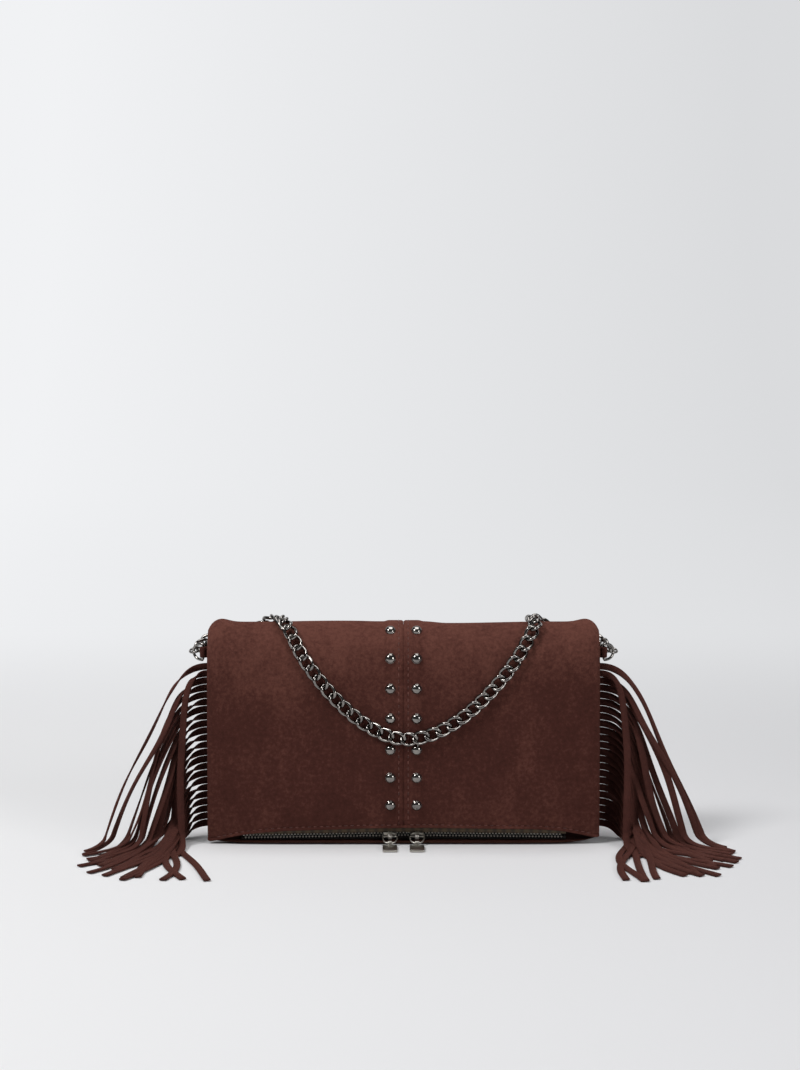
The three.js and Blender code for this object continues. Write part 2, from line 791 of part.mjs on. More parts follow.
// A strip of suede folded round the D-ring's bar and sewn into the side seam
function ringTab(side) {
  const inner = ringWire / 2 + clearance;
  const outer = inner + stripThickness;
  const loop = new THREE.Shape();
  loop.absarc(0, 0, outer, 0, 2 * Math.PI, false);
  const hole = new THREE.Path();
  hole.absarc(0, 0, inner, 0, 2 * Math.PI, true);
  loop.holes.push(hole);
  const eye = new THREE.ExtrudeGeometry(loop, { depth: ringTabWidth, bevelEnabled: false, curveSegments: 6 });
  const legLength = headerDepth + ringBarReach - inner;
  const leg = new THREE.BoxGeometry(legLength, stripThickness, ringTabWidth);
  leg.translate(-side * (inner + legLength / 2), 0, ringTabWidth / 2);
  const bar = ringBarCentre(side);
  return joined([eye, leg]).translate(bar.x, bar.y, bar.z - ringTabWidth / 2);
}

// Fringe

// A repeatable scatter between 0 and 1
function scatter(seed) {
  const wave = Math.sin(seed * 12.9898 + 4.1) * 43758.5453;
  return wave - Math.floor(wave);
}

// How each strand falls: how far it turns forward and how steeply it slopes, in radians, how soon it
// droops and turns, and how far it leans from upright. The lowest turn furthest, so that they fan out.
function strandFall(side, index) {
  const seed = index + (side > 0 ? 40 : 0);
  const height = index / (strandCount - 1);
  const hangs = hangingStrands.includes(index);
  const topTurn = side < 0 ? leftTopTurn : rightTopTurn;
  const topSlope = side < 0 ? leftTopSlope : rightTopSlope;
  const turn = hangs ? hangingTurn : THREE.MathUtils.lerp(lowTurn, topTurn, height) + 2 * (scatter(seed + 200) - 0.5);
  const slope = hangs ? hangingSlope : THREE.MathUtils.lerp(lowSlope, topSlope, height) + 3 * (scatter(seed + 90) - 0.5);
  return {
    forward: THREE.MathUtils.degToRad(turn),
    steep: THREE.MathUtils.degToRad(slope),
    droop: 20 + 2 * scatter(seed),
    turning: 14 + 10 * (1 - height),
    lean: THREE.MathUtils.degToRad(90 - 8 * scatter(seed + 300)),
    stacked: strandStack * index,
  };
}

const strandSteps = 66;
const landing = 10;           // height over which a strand levels out above the floor
const strandStack = 1.25;     // near the seam each strand lies this much above the one below it
const stackStart = 45;        // and comes down to the floor between these lengths, as they fan out
const stackEnd = 100;

// A strand's centreline: out of the seam, down in a slope, and along the floor
function strandLine(side, index) {
  const fall = strandFall(side, index);
  const rootHeight = fringeFoot + strandPitch * (index + 0.5);
  const place = new THREE.Vector3(side * (halfWidth + 0.8), middleDepth(rootHeight), rootHeight);
  const halfRise = (strandThickness * Math.sin(fall.lean) + strandWidth * Math.cos(fall.lean)) / 2;
  const step = strandLength / strandSteps;
  const line = [place.clone()];
  for (let i = 1; i <= strandSteps; i++) {
    const run = i * step;
    const turn = fall.forward * (1 - Math.exp(-run / fall.turning));
    const free = Math.sin(fall.steep * (1 - Math.exp(-((run / fall.droop) ** 1.6))));
    const stacked = fall.stacked * (1 - smooth(stackStart, stackEnd, run));
    const room = Math.max(0, place.z - clearance - halfRise - stacked) / landing;
    const down = Math.min(free, room);
    const level = Math.sqrt(1 - down * down);
    place.x += side * step * level * Math.cos(turn);
    place.y -= step * level * Math.sin(turn);
    place.z -= step * down;
    line.push(place.clone());
  }
  return line;
}

// A flat strip along the line, which leaves the seam on edge and soon turns flat
function strand(side, index) {
  const line = strandLine(side, index);
  const fullLean = strandFall(side, index).lean;
  const stations = [0, 4, 9, 19, 38, strandSteps];
  const rings = stations.map((i) => {
    const along = line[Math.min(strandSteps, i + 1)].clone().sub(line[Math.max(0, i - 1)]).normalize();
    const level = new THREE.Vector3(along.y, -along.x, 0).normalize();
    const upright = new THREE.Vector3().crossVectors(along, level);
    const lean = fullLean * smooth(0, strandTwist, i * strandLength / strandSteps);
    const width = upright.multiplyScalar(Math.cos(lean)).addScaledVector(level, Math.sin(lean));
    const face = new THREE.Vector3().crossVectors(along, width);
    const corner = (w, h) => line[i].clone()
      .addScaledVector(width, w * strandWidth / 2)
      .addScaledVector(face, h * strandThickness / 2);
    return [corner(-1, -1), corner(1, -1), corner(1, 1), corner(-1, 1)];
  });
  return skin(rings, false);
}

// The uncut edge of the fringe, which runs up inside the side seam
function fringeHeader(side) {
  const top = fringeFoot + strandCount * strandPitch;
  const steps = 5;
  const rings = [];
  for (let i = 0; i <= steps; i++) {
    const z = fringeFoot + (i / steps) * (top - fringeFoot);
    const y = middleDepth(z);
    const corner = (x, way) => new THREE.Vector3(side * x, y + way * headerThickness / 2, z);
    const inner = halfWidth - headerDepth;
    const outer = halfWidth + 1.5;
    rings.push([corner(inner, -1), corner(outer, -1), corner(outer, 1), corner(inner, 1)]);
  }
  return skin(rings, false);
}

function fringe(side) {
  const pieces = [fringeHeader(side)];
  for (let i = 0; i < strandCount; i++) pieces.push(strand(side, i));
  return joined(pieces);
}

// Assembly

const bag = new THREE.Group();

function addPiece(name, geometry, look) {
  const mesh = new THREE.Mesh(geometry, look);
  mesh.name = name;
  bag.add(mesh);
}

const sides = [['left', -1], ['right', 1]];

for (const [word, side] of sides) {
  addPiece(`back_panel_${word}`, backPanel(side), suede());
  addPiece(`fringe_${word}`, fringe(side), suede());
  addPiece(`ring_tab_${word}`, ringTab(side), suede());
  addPiece(`d_ring_${word}`, dRing(side), gunmetal());
  addPiece(`jump_ring_${word}`, jumpRing(side), gunmetal());
  addPiece(`slider_${word}`, placeOnZip(slider(side), side), dullNickel());
  addPiece(`pull_ring_${word}`, pullRing(side), dullNickel());
  addPiece(`pull_tab_${word}`, pullTab(side), dullNickel());
  studHeights.forEach((z, i) => {
    addPiece(`stud_${word}_${i + 1}`, stud(side * studColumn, z), gunmetal());
  });
}

addPiece('front_panel', frontPanel(), suede());
addPiece('lining', liningPocket(), liningCloth());
addPiece('zip_tape_front', zipTape(true), tapeCloth(0x3c2f22));
addPiece('zip_tape_back', zipTape(false), tapeCloth(0x120d0c));
addPiece('zip_teeth_front', zipTeeth(true), dullNickel());
addPiece('zip_teeth_back', zipTeeth(false), dullNickel());
addPiece('chain', chain(), gunmetal());

export default bag;
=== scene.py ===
# %% [markdown]
# # A fringed suede bag
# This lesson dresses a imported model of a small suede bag. The bag is one flat pouch, zipped at its
# end, stood up and folded over on itself, so the zip lies along the bottom of the flap. A curb chain
# hangs over the front, two rows of studs follow the centre seam, and a cut fringe falls from each side.
# The frame gives the sizes and the moving parts. Every new surface is worked out here in millimetres
# from the same numbers as the frame, and turned to metres only when its mesh is made.

# %% Load the frame
import bpy
import bmesh
import math
import numpy as np
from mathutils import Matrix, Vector


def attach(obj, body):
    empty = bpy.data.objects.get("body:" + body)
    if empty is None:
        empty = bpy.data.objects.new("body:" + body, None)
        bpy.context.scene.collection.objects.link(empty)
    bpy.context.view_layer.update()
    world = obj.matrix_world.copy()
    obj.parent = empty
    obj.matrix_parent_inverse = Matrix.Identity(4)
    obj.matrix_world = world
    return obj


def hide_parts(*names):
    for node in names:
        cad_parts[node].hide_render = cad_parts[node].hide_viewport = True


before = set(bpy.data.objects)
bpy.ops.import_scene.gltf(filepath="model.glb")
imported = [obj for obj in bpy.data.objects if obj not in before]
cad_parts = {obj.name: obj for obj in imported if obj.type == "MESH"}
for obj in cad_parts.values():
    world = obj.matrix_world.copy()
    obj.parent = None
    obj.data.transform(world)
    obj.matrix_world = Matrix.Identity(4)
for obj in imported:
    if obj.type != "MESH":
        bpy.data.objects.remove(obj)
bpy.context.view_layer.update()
print("nodes:", len(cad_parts))

# %% [markdown]
# ## Colours and nodes
# Colours are written as the hex values that a picture editor shows. Blender's shaders want linear
# light, so one function turns them. A second small function adds a node, sets it and wires it up, which
# keeps each material readable as a list of what it is made from.

# %% Helpers for colours and nodes


def linear(hex_colour):
    """sRGB hex to linear RGBA: each channel c becomes ((c + 0.055) / 1.055) ^ 2.4, or c / 12.92 if dark."""
    channels = np.array([(hex_colour >> shift) & 255 for shift in (16, 8, 0)]) / 255
    bright = ((channels + 0.055) / 1.055) ** 2.4
    return (*np.where(channels > 0.04045, bright, channels / 12.92).tolist(), 1.0)


def add_node(tree, kind, settings=None, links=None):
    """Adds a node. settings gives its properties and its sockets' values, links what feeds each socket."""
    node = tree.nodes.new(kind)
    for key, value in (settings or {}).items():
        if isinstance(key, str) and hasattr(node, key):
            setattr(node, key, value)
        else:
            node.inputs[key].default_value = value
    for key, source in (links or {}).items():
        tree.links.new(source, node.inputs[key])
    return node


def new_material(name):
    """An empty node material: returns it, its tree, its shader and its Object coordinates."""
    made = bpy.data.materials.new(name)
    made.use_nodes = True
    tree = made.node_tree
    shader = tree.nodes["Principled BSDF"]
    place = tree.nodes.new("ShaderNodeTexCoord").outputs["Object"]
    return made, tree, shader, place


def colour_ramp(tree, source, stops):
    """A ramp from a value to colours: stops is a list of (position, hex)."""
    ramp = add_node(tree, "ShaderNodeValToRGB", links={"Fac": source})
    elements = ramp.color_ramp.elements
    while len(elements) < len(stops):
        elements.new(0.5)
    for element, (position, hex_colour) in zip(elements, stops):
        element.position = position
        element.color = linear(hex_colour)
    return ramp.outputs["Color"]


def noise(tree, place, size, detail=2.0, roughness=0.5, distortion=0.0):
    """The level of a noise texture whose clouds are about size mm wide."""
    settings = {"Scale": 1000 / size, "Detail": detail, "Roughness": roughness, "Distortion": distortion}
    return add_node(tree, "ShaderNodeTexNoise", settings, {"Vector": place}).outputs["Fac"]


def calculate(tree, operation, *values):
    """A math node that works on numbers and on other nodes' outputs."""
    node = add_node(tree, "ShaderNodeMath", {"operation": operation})
    for socket, value in zip(node.inputs, values):
        if isinstance(value, float):
            socket.default_value = value
        else:
            tree.links.new(value, socket)
    return node.outputs[0]


def rescale(tree, value, low, high, to_low=0.0, to_high=1.0, kind="LINEAR"):
    """Maps low to high onto to_low to to_high, and holds the ends outside that range."""
    settings = {"interpolation_type": kind, "From Min": low, "From Max": high,
                "To Min": to_low, "To Max": to_high}
    return add_node(tree, "ShaderNodeMapRange", settings, {"Value": value}).outputs[0]


def feed_shader(tree, shader, colour, height, strength, depth):
    """Gives the shader its colour, and a bump from a height whose full step is depth mm."""
    tree.links.new(colour, shader.inputs["Base Color"])
    settings = {"Strength": strength, "Distance": depth / 1000}
    bump = add_node(tree, "ShaderNodeBump", settings, {"Height": height})
    tree.links.new(bump.outputs[0], shader.inputs["Normal"])


# %% [markdown]
# ## Meshes from arrays
# A surface is a grid of points, computed in one go. Neighbouring points join into quads. A sheet is two
# grids, its outside and its inside, closed along the edges, and a wire or a strip is a row of rings.

# %% Helpers for meshes


def grid_quads(rows, columns, close_rows=False, close_columns=False):
    """Quads of a grid of points numbered row by row, which may close on itself either way."""
    steps = np.arange(rows - (not close_rows)), np.arange(columns - (not close_columns))
    i, j = (index.ravel() for index in np.meshgrid(*steps, indexing="ij"))
    i_next, j_next = (i + 1) % rows, (j + 1) % columns
    corners = [i * columns + j, i_next * columns + j, i_next * columns + j_next, i * columns + j_next]
    return np.stack(corners, axis=1)


def outward(points, quads):
    """Turns all quads round if the volume that they close is negative."""
    a, b, c, d = (points[quads[:, k]] for k in range(4))
    volume = np.einsum("ij,ij->i", a, np.cross(b, c)).sum() + np.einsum("ij,ij->i", a, np.cross(c, d)).sum()
    return quads if volume > 0 else quads[:, ::-1]


def add_object(name, data):
    """A new object in the scene."""
    added = bpy.data.objects.new(name, data)
    bpy.context.scene.collection.objects.link(added)
    return added


def make_piece(name, points, quads, look, slot, body="bag", smooth=True):
    """A mesh object from points in mm and quads (a repeated last corner makes a triangle)."""
    mesh = bpy.data.meshes.new(name)
    faces = [face[:3] if face[2] == face[3] else face for face in quads.tolist()]
    mesh.from_pydata((points / 1000).tolist(), [], faces)
    mesh.polygons.foreach_set("use_smooth", np.full(len(mesh.polygons), smooth))
    mesh.update()
    piece = add_object(name, mesh)
    piece.data.materials.append(look)
    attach(piece, body)
    print(f"{name}: {len(mesh.vertices)} points, {len(mesh.polygons)} faces")
    return piece


def ring_solid(rings):
    """Points and quads of rings skinned into a solid, with a strip of quads closing each end."""
    rows, size = rings.shape[:2]
    points = rings.reshape(-1, 3)
    j = np.arange(size // 2 - 1)
    cap = np.stack([j, j + 1, size - 2 - j, size - 1 - j], axis=1)
    quads = [grid_quads(rows, size, close_columns=True), cap, cap[:, ::-1] + (rows - 1) * size]
    return points, outward(points, np.concatenate(quads))


def sheet_solid(outside, inside):
    """A sheet from the grids of its faces: each row of one and back along the other makes a ring."""
    return ring_solid(np.concatenate([outside, inside[:, ::-1]], axis=1))


def merged(parts):
    """Several (points, quads) as one pair."""
    points = np.concatenate([p for p, _ in parts])
    starts = np.cumsum([0] + [len(p) for p, _ in parts[:-1]])
    return points, np.concatenate([q + start for (_, q), start in zip(parts, starts)])


def as_arrays(*values):
    """Numbers and arrays as arrays of one shape."""
    return np.broadcast_arrays(*(np.asarray(value, float) for value in values))


def unit(vectors):
    """Vectors divided by their lengths."""
    return vectors / np.linalg.norm(vectors, axis=-1, keepdims=True)


def square_to(along, vectors):
    """Vectors without their share along a direction of length 1, brought to length 1."""
    return unit(vectors - along * np.sum(vectors * along, axis=-1, keepdims=True))


def circle(first, second, steps):
    """cos(a) first + sin(a) second, with the steps round the circle as the last axis but one."""
    angle = np.arange(steps)[:, None] / steps * 2 * np.pi
    return first[..., None, :] * np.cos(angle) + second[..., None, :] * np.sin(angle)


def run_along(line):
    """Each point's distance from the first, measured along the line."""
    return np.concatenate([[0], np.cumsum(np.linalg.norm(np.diff(line, axis=0), axis=1))])


def at_run(places, run, line):
    """The line's values at given places along its run."""
    return np.stack([np.interp(places, run, line[:, k]) for k in range(3)], axis=-1)


def smoothstep(low, high, value):
    """0 below low, 1 above high, and 3s^2 - 2s^3 between them."""
    share = np.clip((np.asarray(value, float) - low) / (high - low), 0, 1)
    return share * share * (3 - 2 * share)


def wire_loop(line, radius, sides, normal):
    """A round wire along closed lines: at each point, a circle square to the line's direction."""
    along = unit(np.roll(line, -1, axis=0) - np.roll(line, 1, axis=0))
    first = square_to(along, normal)
    ring = circle(first, np.cross(along, first), sides)
    points = (line[:, None] + radius * ring).reshape(-1, 3)
    return points, outward(points, grid_quads(len(line), sides, True, True))


# %% [markdown]
# ## The view
# A picture of a small object from a low studio stand uses a long lens from far off, which keeps the
# sides of the bag almost parallel. The camera stands 2.2 m away, 9.5 degrees above the bag's middle,
# looks 6 degrees down, and sees the bag in the lower part of the frame. The lens is chosen so that
# 551 mm at the bag fill the picture's width.

# %% Camera
camera_distance = 2.2
camera_rise = 9.5
camera_tilt = 6.0
camera_x, camera_height = -0.0024, 0.442
bag_front = -0.025
width_in_view = 0.551
camera_data = bpy.data.cameras.new("studio_camera")
camera_data.sensor_fit = "HORIZONTAL"
camera_data.sensor_width = 36.0
camera_data.lens = 36.0 * camera_distance / width_in_view
camera_data.clip_end = 20
camera = add_object("studio_camera", camera_data)
camera_depth = bag_front - camera_distance * math.cos(math.radians(camera_rise))
camera.location = (camera_x, camera_depth, camera_height)
camera.rotation_euler = (math.radians(90 - camera_tilt), 0, 0)
bpy.context.scene.camera = camera
print("lens mm:", round(camera_data.lens, 1))

# %% [markdown]
# ## Floor and backdrop
# A studio sweep is one sheet of pale matte card: flat under the object, then curving up behind it with
# no corner, so no line shows. Its profile is a straight, a quarter circle and a straight again.

# %% Studio sweep
sweep_turn, sweep_flat, sweep_top = 0.9, 2.6, 3.6
sweep_front, sweep_half = -5.0, 6.0
corner = np.linspace(0, np.pi / 2, 25)
corner_y = sweep_flat + sweep_turn * np.sin(corner)
profile_y = np.concatenate([[sweep_front], corner_y, corner_y[-1:]])
profile_z = np.concatenate([[0.0], sweep_turn * (1 - np.cos(corner)), [sweep_top]])
sweep_x = np.array([-sweep_half, sweep_half])
sweep_axes = as_arrays(sweep_x, profile_y[:, None], profile_z[:, None])
sweep_points = np.stack(sweep_axes, axis=-1).reshape(-1, 3)
sweep_quads = grid_quads(len(profile_y), 2)[:, ::-1]
sweep_mesh = bpy.data.meshes.new("studio_sweep")
sweep_mesh.from_pydata(sweep_points.tolist(), [], sweep_quads.tolist())
sweep_mesh.polygons.foreach_set("use_smooth", np.ones(len(sweep_mesh.polygons), bool))
sweep = add_object("studio_sweep", sweep_mesh)
# Matte card, which holds a soft shadow and no shine. Its colour is painted light: paler on the left, where
# the key lamp stands, and greyer on the right. Far behind the bag, and from one to 2.4 m around it, the
# card leaves the lamps' reach. There it shows its pale colour, with that painted light, to the camera
# and to shiny metal. Near the bag it is lit card.
sweep_look, tree, shader, place = new_material("pale_matte_card")
shader.inputs["Roughness"].default_value = 0.9
axes = add_node(tree, "ShaderNodeSeparateXYZ", links={"Vector": place})
painted_light_fade = rescale(tree, axes.outputs["X"], -0.6, 0.6)
far_colour = colour_ramp(tree, painted_light_fade, [(0.0, 0xF1F2F4), (1.0, 0xDADBDD)])
# Painted light here too: the lit card near the bag is coloured paler on the left, towards the key lamp.
near_painted_light_fade = rescale(tree, axes.outputs["X"], -0.3, 0.3)
near_colour = colour_ramp(tree, near_painted_light_fade, [(0.0, 0xEDEDEE), (1.0, 0xDFDFE1)])
tree.links.new(near_colour, shader.inputs["Base Color"])
glow = add_node(tree, "ShaderNodeEmission", {"Strength": 1.0}, {"Color": far_colour})
seen = add_node(tree, "ShaderNodeLightPath").outputs
direct = calculate(tree, "MAXIMUM", seen["Is Camera Ray"], seen["Is Glossy Ray"])
direct = calculate(tree, "MAXIMUM", direct, seen["Is Transmission Ray"])
behind = rescale(tree, axes.outputs["Y"], 0.12, 1.1, kind="SMOOTHSTEP")
distance = add_node(tree, "ShaderNodeVectorMath", {"operation": "LENGTH"}, {0: place})
around = rescale(tree, distance.outputs["Value"], 1.0, 2.4, kind="SMOOTHSTEP")
share = calculate(tree, "MULTIPLY", direct, calculate(tree, "MAXIMUM", behind, around))
card = add_node(tree, "ShaderNodeMixShader", links={0: share, 1: shader.outputs[0], 2: glow.outputs[0]})
tree.links.new(card.outputs[0], tree.nodes["Material Output"].inputs["Surface"])
sweep_mesh.materials.append(sweep_look)

# %% [markdown]
# ## Light
# The picture is lit by a soft source above and to the left, one overhead and a weaker one on the right,
# in a room that is dim between them. Matte suede hardly cares where light comes from, but metal shows
# it all: its highlights are the lamps and its dark parts are the room. An area lamp of P watts at d
# metres gives P / (10 d^2) of the level at which a matte colour renders as it is written. The four
# sources add up to more than that level, because no face meets all of them head on.

# %% Lamps and world


def add_lamp(name, place, target, size, level):
    """A square area lamp at a place, in metres, that faces a target and gives it a share of full light."""
    data = bpy.data.lights.new(name, "AREA")
    data.size = size
    data.energy = level * math.pi ** 2 * sum((a - b) ** 2 for a, b in zip(place, target))
    lamp = add_object(name, data)
    lamp.location = place
    lamp.rotation_euler = (Vector(target) - Vector(place)).to_track_quat("-Z", "Y").to_euler()


add_lamp("key_softbox", (-1.6, -1.2, 2.3), (0, 0.1, 0.08), 0.9, 0.49)
add_lamp("overhead_softbox", (0.1, 0.1, 2.4), (0, 0.1, 0.08), 1.5, 0.52)
add_lamp("fill_softbox", (1.9, -1.9, 1.0), (0, 0, 0.08), 0.9, 0.25)
world = bpy.data.worlds.new("studio_room")
world.use_nodes = True
world.node_tree.nodes["Background"].inputs["Color"].default_value = linear(0xF2F4F7)
world.node_tree.nodes["Background"].inputs["Strength"].default_value = 0.10
bpy.context.scene.world = world
bpy.context.scene.view_settings.view_transform = "Standard"

# %% [markdown]
# ## Suede
# The cloth is a brushed microsuede: fine fibres stand up from a dyed base, so it has no shine, glows a
# little at grazing angles, and shows pale and dark strokes wherever the nap was brushed another way. A
# broad noise gives those strokes, a finer one the mottled dye, and a bump of about 0.4 mm the grain.
# The sheen and the roughness are set on the shader itself.

# %% Suede material


def suede_look(name, dark, middle, pale, grain=0.4):
    """Suede: colour from strokes of 45 mm, mottling of 2.6 mm, streaks of 9 by 30 mm and painted light from
    above, which makes it paler towards the top, from 85 to 155 mm up. Bump from fibre clumps of grain mm."""
    made, tree, shader, place = new_material(name)
    stroke = noise(tree, place, 45, detail=4.0, roughness=0.55, distortion=0.6)
    mottle = noise(tree, place, 2.6, detail=3.0, roughness=0.7)
    fibre = noise(tree, place, grain, detail=3.0, roughness=0.7)
    long_way = add_node(tree, "ShaderNodeMapping", {"Scale": (1 / 9, 1 / 9, 1 / 30)}, {"Vector": place})
    streak = noise(tree, long_way.outputs[0], 1)
    height = add_node(tree, "ShaderNodeSeparateXYZ", links={"Vector": place}).outputs["Z"]
    # Painted light: the colour grows paler towards the top, from 85 to 155 mm up, as if lit from above.
    painted_top_light = rescale(tree, height, 0.085, 0.155, to_high=0.45, kind="SMOOTHSTEP")
    blend = calculate(tree, "MULTIPLY_ADD", mottle, 1.4, stroke)
    blend = calculate(tree, "MULTIPLY_ADD", streak, 0.5, blend)
    blend = calculate(tree, "ADD", blend, painted_top_light)
    colour = colour_ramp(tree, rescale(tree, blend, 0.82, 2.06), [(0.0, dark), (0.5, middle), (1.0, pale)])
    clump = calculate(tree, "MULTIPLY_ADD", mottle, 0.6, fibre)
    feed_shader(tree, shader, colour, clump, 0.8, 0.4)
    for socket, value in (("Roughness", 0.95), ("Specular IOR Level", 0.15), ("Sheen Weight", 0.3),
                          ("Sheen Roughness", 0.4), ("Sheen Tint", linear(0xB06A58))):
        shader.inputs[socket].default_value = value
    return made


suede = suede_look("brushed_microsuede", 0x381D17, 0x472620, 0x633C33)
# The strips are cut from the same cloth, but rubbed less, so they look flatter and a little redder.
suede_strip = suede_look("cut_suede_strip", 0x361D19, 0x432520, 0x502D27, grain=0.35)
# The inner length is the same suede painted far darker, as painted shade: it lies in the mouth and under the
# flap.
shaded_inner_suede = suede_look("painted_shade_inner_suede", 0x1A0D0A, 0x24120E, 0x2F1913)

# %% [markdown]
# ## The pouch's section
# Seen from the side, the pouch goes up from its flat bottom, rolls over at the top and comes down in
# front as the flap. Two smooth curves give that section: the outer one is the back panel and the inner
# one the front panel. The same stations pair up on both, so the layers never cross.

# %% Section curves
# These are the frame's own numbers, but for the fold, which is drawn 2.5 mm lower than its 154 mm.
half_width = 135.0
fold_top, crease_drop = 151.5, 16.0
body_back, body_front = 21.0, -17.0
flap_inside, flap_front = -19.0, -31.0
bottom_depth, wall, clearance = 19.0, 1.4, 0.3
hem_height, back_hem_height = 12.0, 2.0
seam_half, flap_seam_half = 2.45, 1.55
fold_station = 0.5
both_sides = (("left", -1), ("right", 1))

outer_stations = np.array([
    [bottom_depth / 2 - 0.5, 0], [body_back - 2, 12], [body_back - 0.5, 60], [body_back - 7, 126],
    [body_back - 23, fold_top], [flap_front + 7, fold_top - 15], [flap_front, 90], [flap_front - 1, 42],
    [flap_front + 1.2, hem_height]])
inner_stations = np.array([
    [-bottom_depth / 2 - 0.5, 0], [body_front + 1, 12], [body_front - 0.5, 60], [body_front + 6, 125],
    [body_front + 8, fold_top - crease_drop], [flap_inside + 3, 120], [flap_inside + 0.3, 82],
    [flap_inside - 1, 32], [flap_inside + 0.3, back_hem_height]])
middle_stations = (outer_stations + inner_stations) / 2


def section(stations, t):
    """A smooth curve through the stations. Between two of them it is the cubic whose end slopes are
    half the step from the station before to the station after."""
    last = len(stations) - 1
    at = np.clip(t, 0, 1) * last
    i = np.minimum(np.floor(at).astype(int), last - 1)
    w = (at - i)[..., None]
    before, here = stations[np.maximum(i - 1, 0)], stations[i]
    there, after = stations[i + 1], stations[np.minimum(i + 2, last)]
    slope_in, slope_out = (there - before) / 2, (after - here) / 2
    cubic = 2 * here - 2 * there + slope_in + slope_out
    square = -3 * here + 3 * there - 2 * slope_in - slope_out
    return cubic * w ** 3 + square * w ** 2 + slope_in * w + here


def section_normal(stations, t):
    """(dz, -dy) of the curve, of length 1: the side that faces away from the pouch."""
    along = section(stations, np.minimum(1, t + 1e-3)) - section(stations, np.maximum(0, t - 1e-3))
    return unit(np.stack([along[..., 1], -along[..., 0]], axis=-1))


print("back panel's length from bottom to hem, mm:",
      round(float(run_along(section(outer_stations, np.linspace(0, 1, 400)))[-1])))

# %% [markdown]
# ## The pouch's surface
# Across its width the pouch is full in the middle and closes on the side seams. A high power of the
# distance from the middle keeps it full until close to the seam, which is how a lined pouch sits. The
# seam allowances raise the middle, the hem falls a little to the sides and the fold's corners stand up.
# Where two numbers are given for a droop, the first is for the left side.

# %% Pouch surface
ridge_height, puff_height = 0.8, 2.0
seam_droops, corner_droops = (4.2, 1.5), (5.0, 4.5)


def fullness(x, power=8):
    """1 - |x / half width| ^ power."""
    return 1 - np.minimum(1, np.abs(x) / half_width) ** power


def fold_power(t):
    """8 along the section, and up to 50 on the fold, whose corners stay round and full."""
    return 8 + 42 * np.exp(-((t - fold_station) / 0.11) ** 2)


def seam_ridge(x):
    """0.8 mm high beside the seam's groove, and gone 14 mm from it, where the allowances end."""
    away = np.abs(x)
    return ridge_height * smoothstep(-0.1, 1.6, away) * (1 - smoothstep(10, 14, away))


def pouch_point(is_outer, t, x, inset):
    """The section's curve moved out by the ridge less the inset, mixed with the seam line by fullness,
    then lowered by the hem's droop and raised by a bell-shaped puff at the fold's corners."""
    t, x, inset = as_arrays(t, x, inset)
    stations = outer_stations if is_outer else inner_stations
    sign = 1 if is_outer else -1
    full = fullness(x, fold_power(t)) if is_outer else fullness(x)
    ridge = seam_ridge(x) if is_outer else 0
    face = section(stations, t) + section_normal(stations, t) * (sign * (ridge - inset))[..., None]
    thinning = smoothstep(fold_station - 0.06, fold_station + 0.08, t)
    gap = seam_half + (flap_seam_half - seam_half) * thinning
    normal = section_normal(middle_stations, t)
    side = section(middle_stations, t) + normal * (sign * (gap - inset))[..., None]
    place = side + (face - side) * full[..., None]
    away = np.abs(x) / half_width
    droop = np.where(x < 0, *seam_droops) * away
    if is_outer:
        droop = droop + np.where(x < 0, *corner_droops) * away ** 8 * np.sqrt(full)
    else:
        droop = droop * (1 - full)
    droop = droop * smoothstep(0.62, 1, t)
    near_corner = np.exp(-((np.abs(x) - half_width + 9) / 7) ** 2)
    puff = puff_height * near_corner * smoothstep(120, fold_top - 8, place[..., 1])
    floor = np.where(t > fold_station, clearance, inset)
    return np.stack([x, place[..., 0], np.maximum(floor, place[..., 1] - droop + puff)], axis=-1)


def pouch_normal(t, x):
    """The outer surface's normal: its slope along the section crossed with its slope across."""
    t, x = as_arrays(t, x)
    later, earlier = np.minimum(1, t + 0.004), np.maximum(0, t - 0.004)
    along = pouch_point(True, later, x, 0) - pouch_point(True, earlier, x, 0)
    across = pouch_point(True, t, x + 0.6, 0) - pouch_point(True, t, x - 0.6, 0)
    return unit(np.cross(along, across))


def halved(goes_on, first, last):
    """The station where goes_on turns false on the way from first to last, after 30 halvings."""
    for _ in range(30):
        middle = (first + last) / 2
        further = goes_on(middle)
        first, last = np.where(further, middle, first), np.where(further, last, middle)
    return (first + last) / 2


def front_station(x, z):
    """Where the flap's front has the height z at x."""
    x, z = as_arrays(x, z)
    start, stop = np.full(x.shape, fold_station), np.ones(x.shape)
    return halved(lambda t: pouch_point(True, t, x, 0)[..., 2] > z, start, stop)


def middle_depth(z):
    """The side seam's depth y at a height on the standing half."""
    z = np.asarray(z, float)
    start, stop = np.zeros(z.shape), np.full(z.shape, fold_station)
    station = halved(lambda t: section(middle_stations, t)[..., 1] < z, start, stop)
    return section(middle_stations, station)[..., 0]


# %% [markdown]
# ## Sag and stitch lines
# A real pouch is never as smooth as its pattern. Under its own weight the flap sags into long shallow
# waves, the hem ripples between its stitches, and each stitch line pulls a small groove into the nap.
# The sum of a few sines and bells, faded out at the seams, moves the surface along its normal by little
# more than a millimetre, so that the studs and the chain still sit on it.

# %% Sag field
stitch_pitch = 4.3
seam_stitch_row = 3.2
hem_stitch_row = 5.0
section_length = 322.0


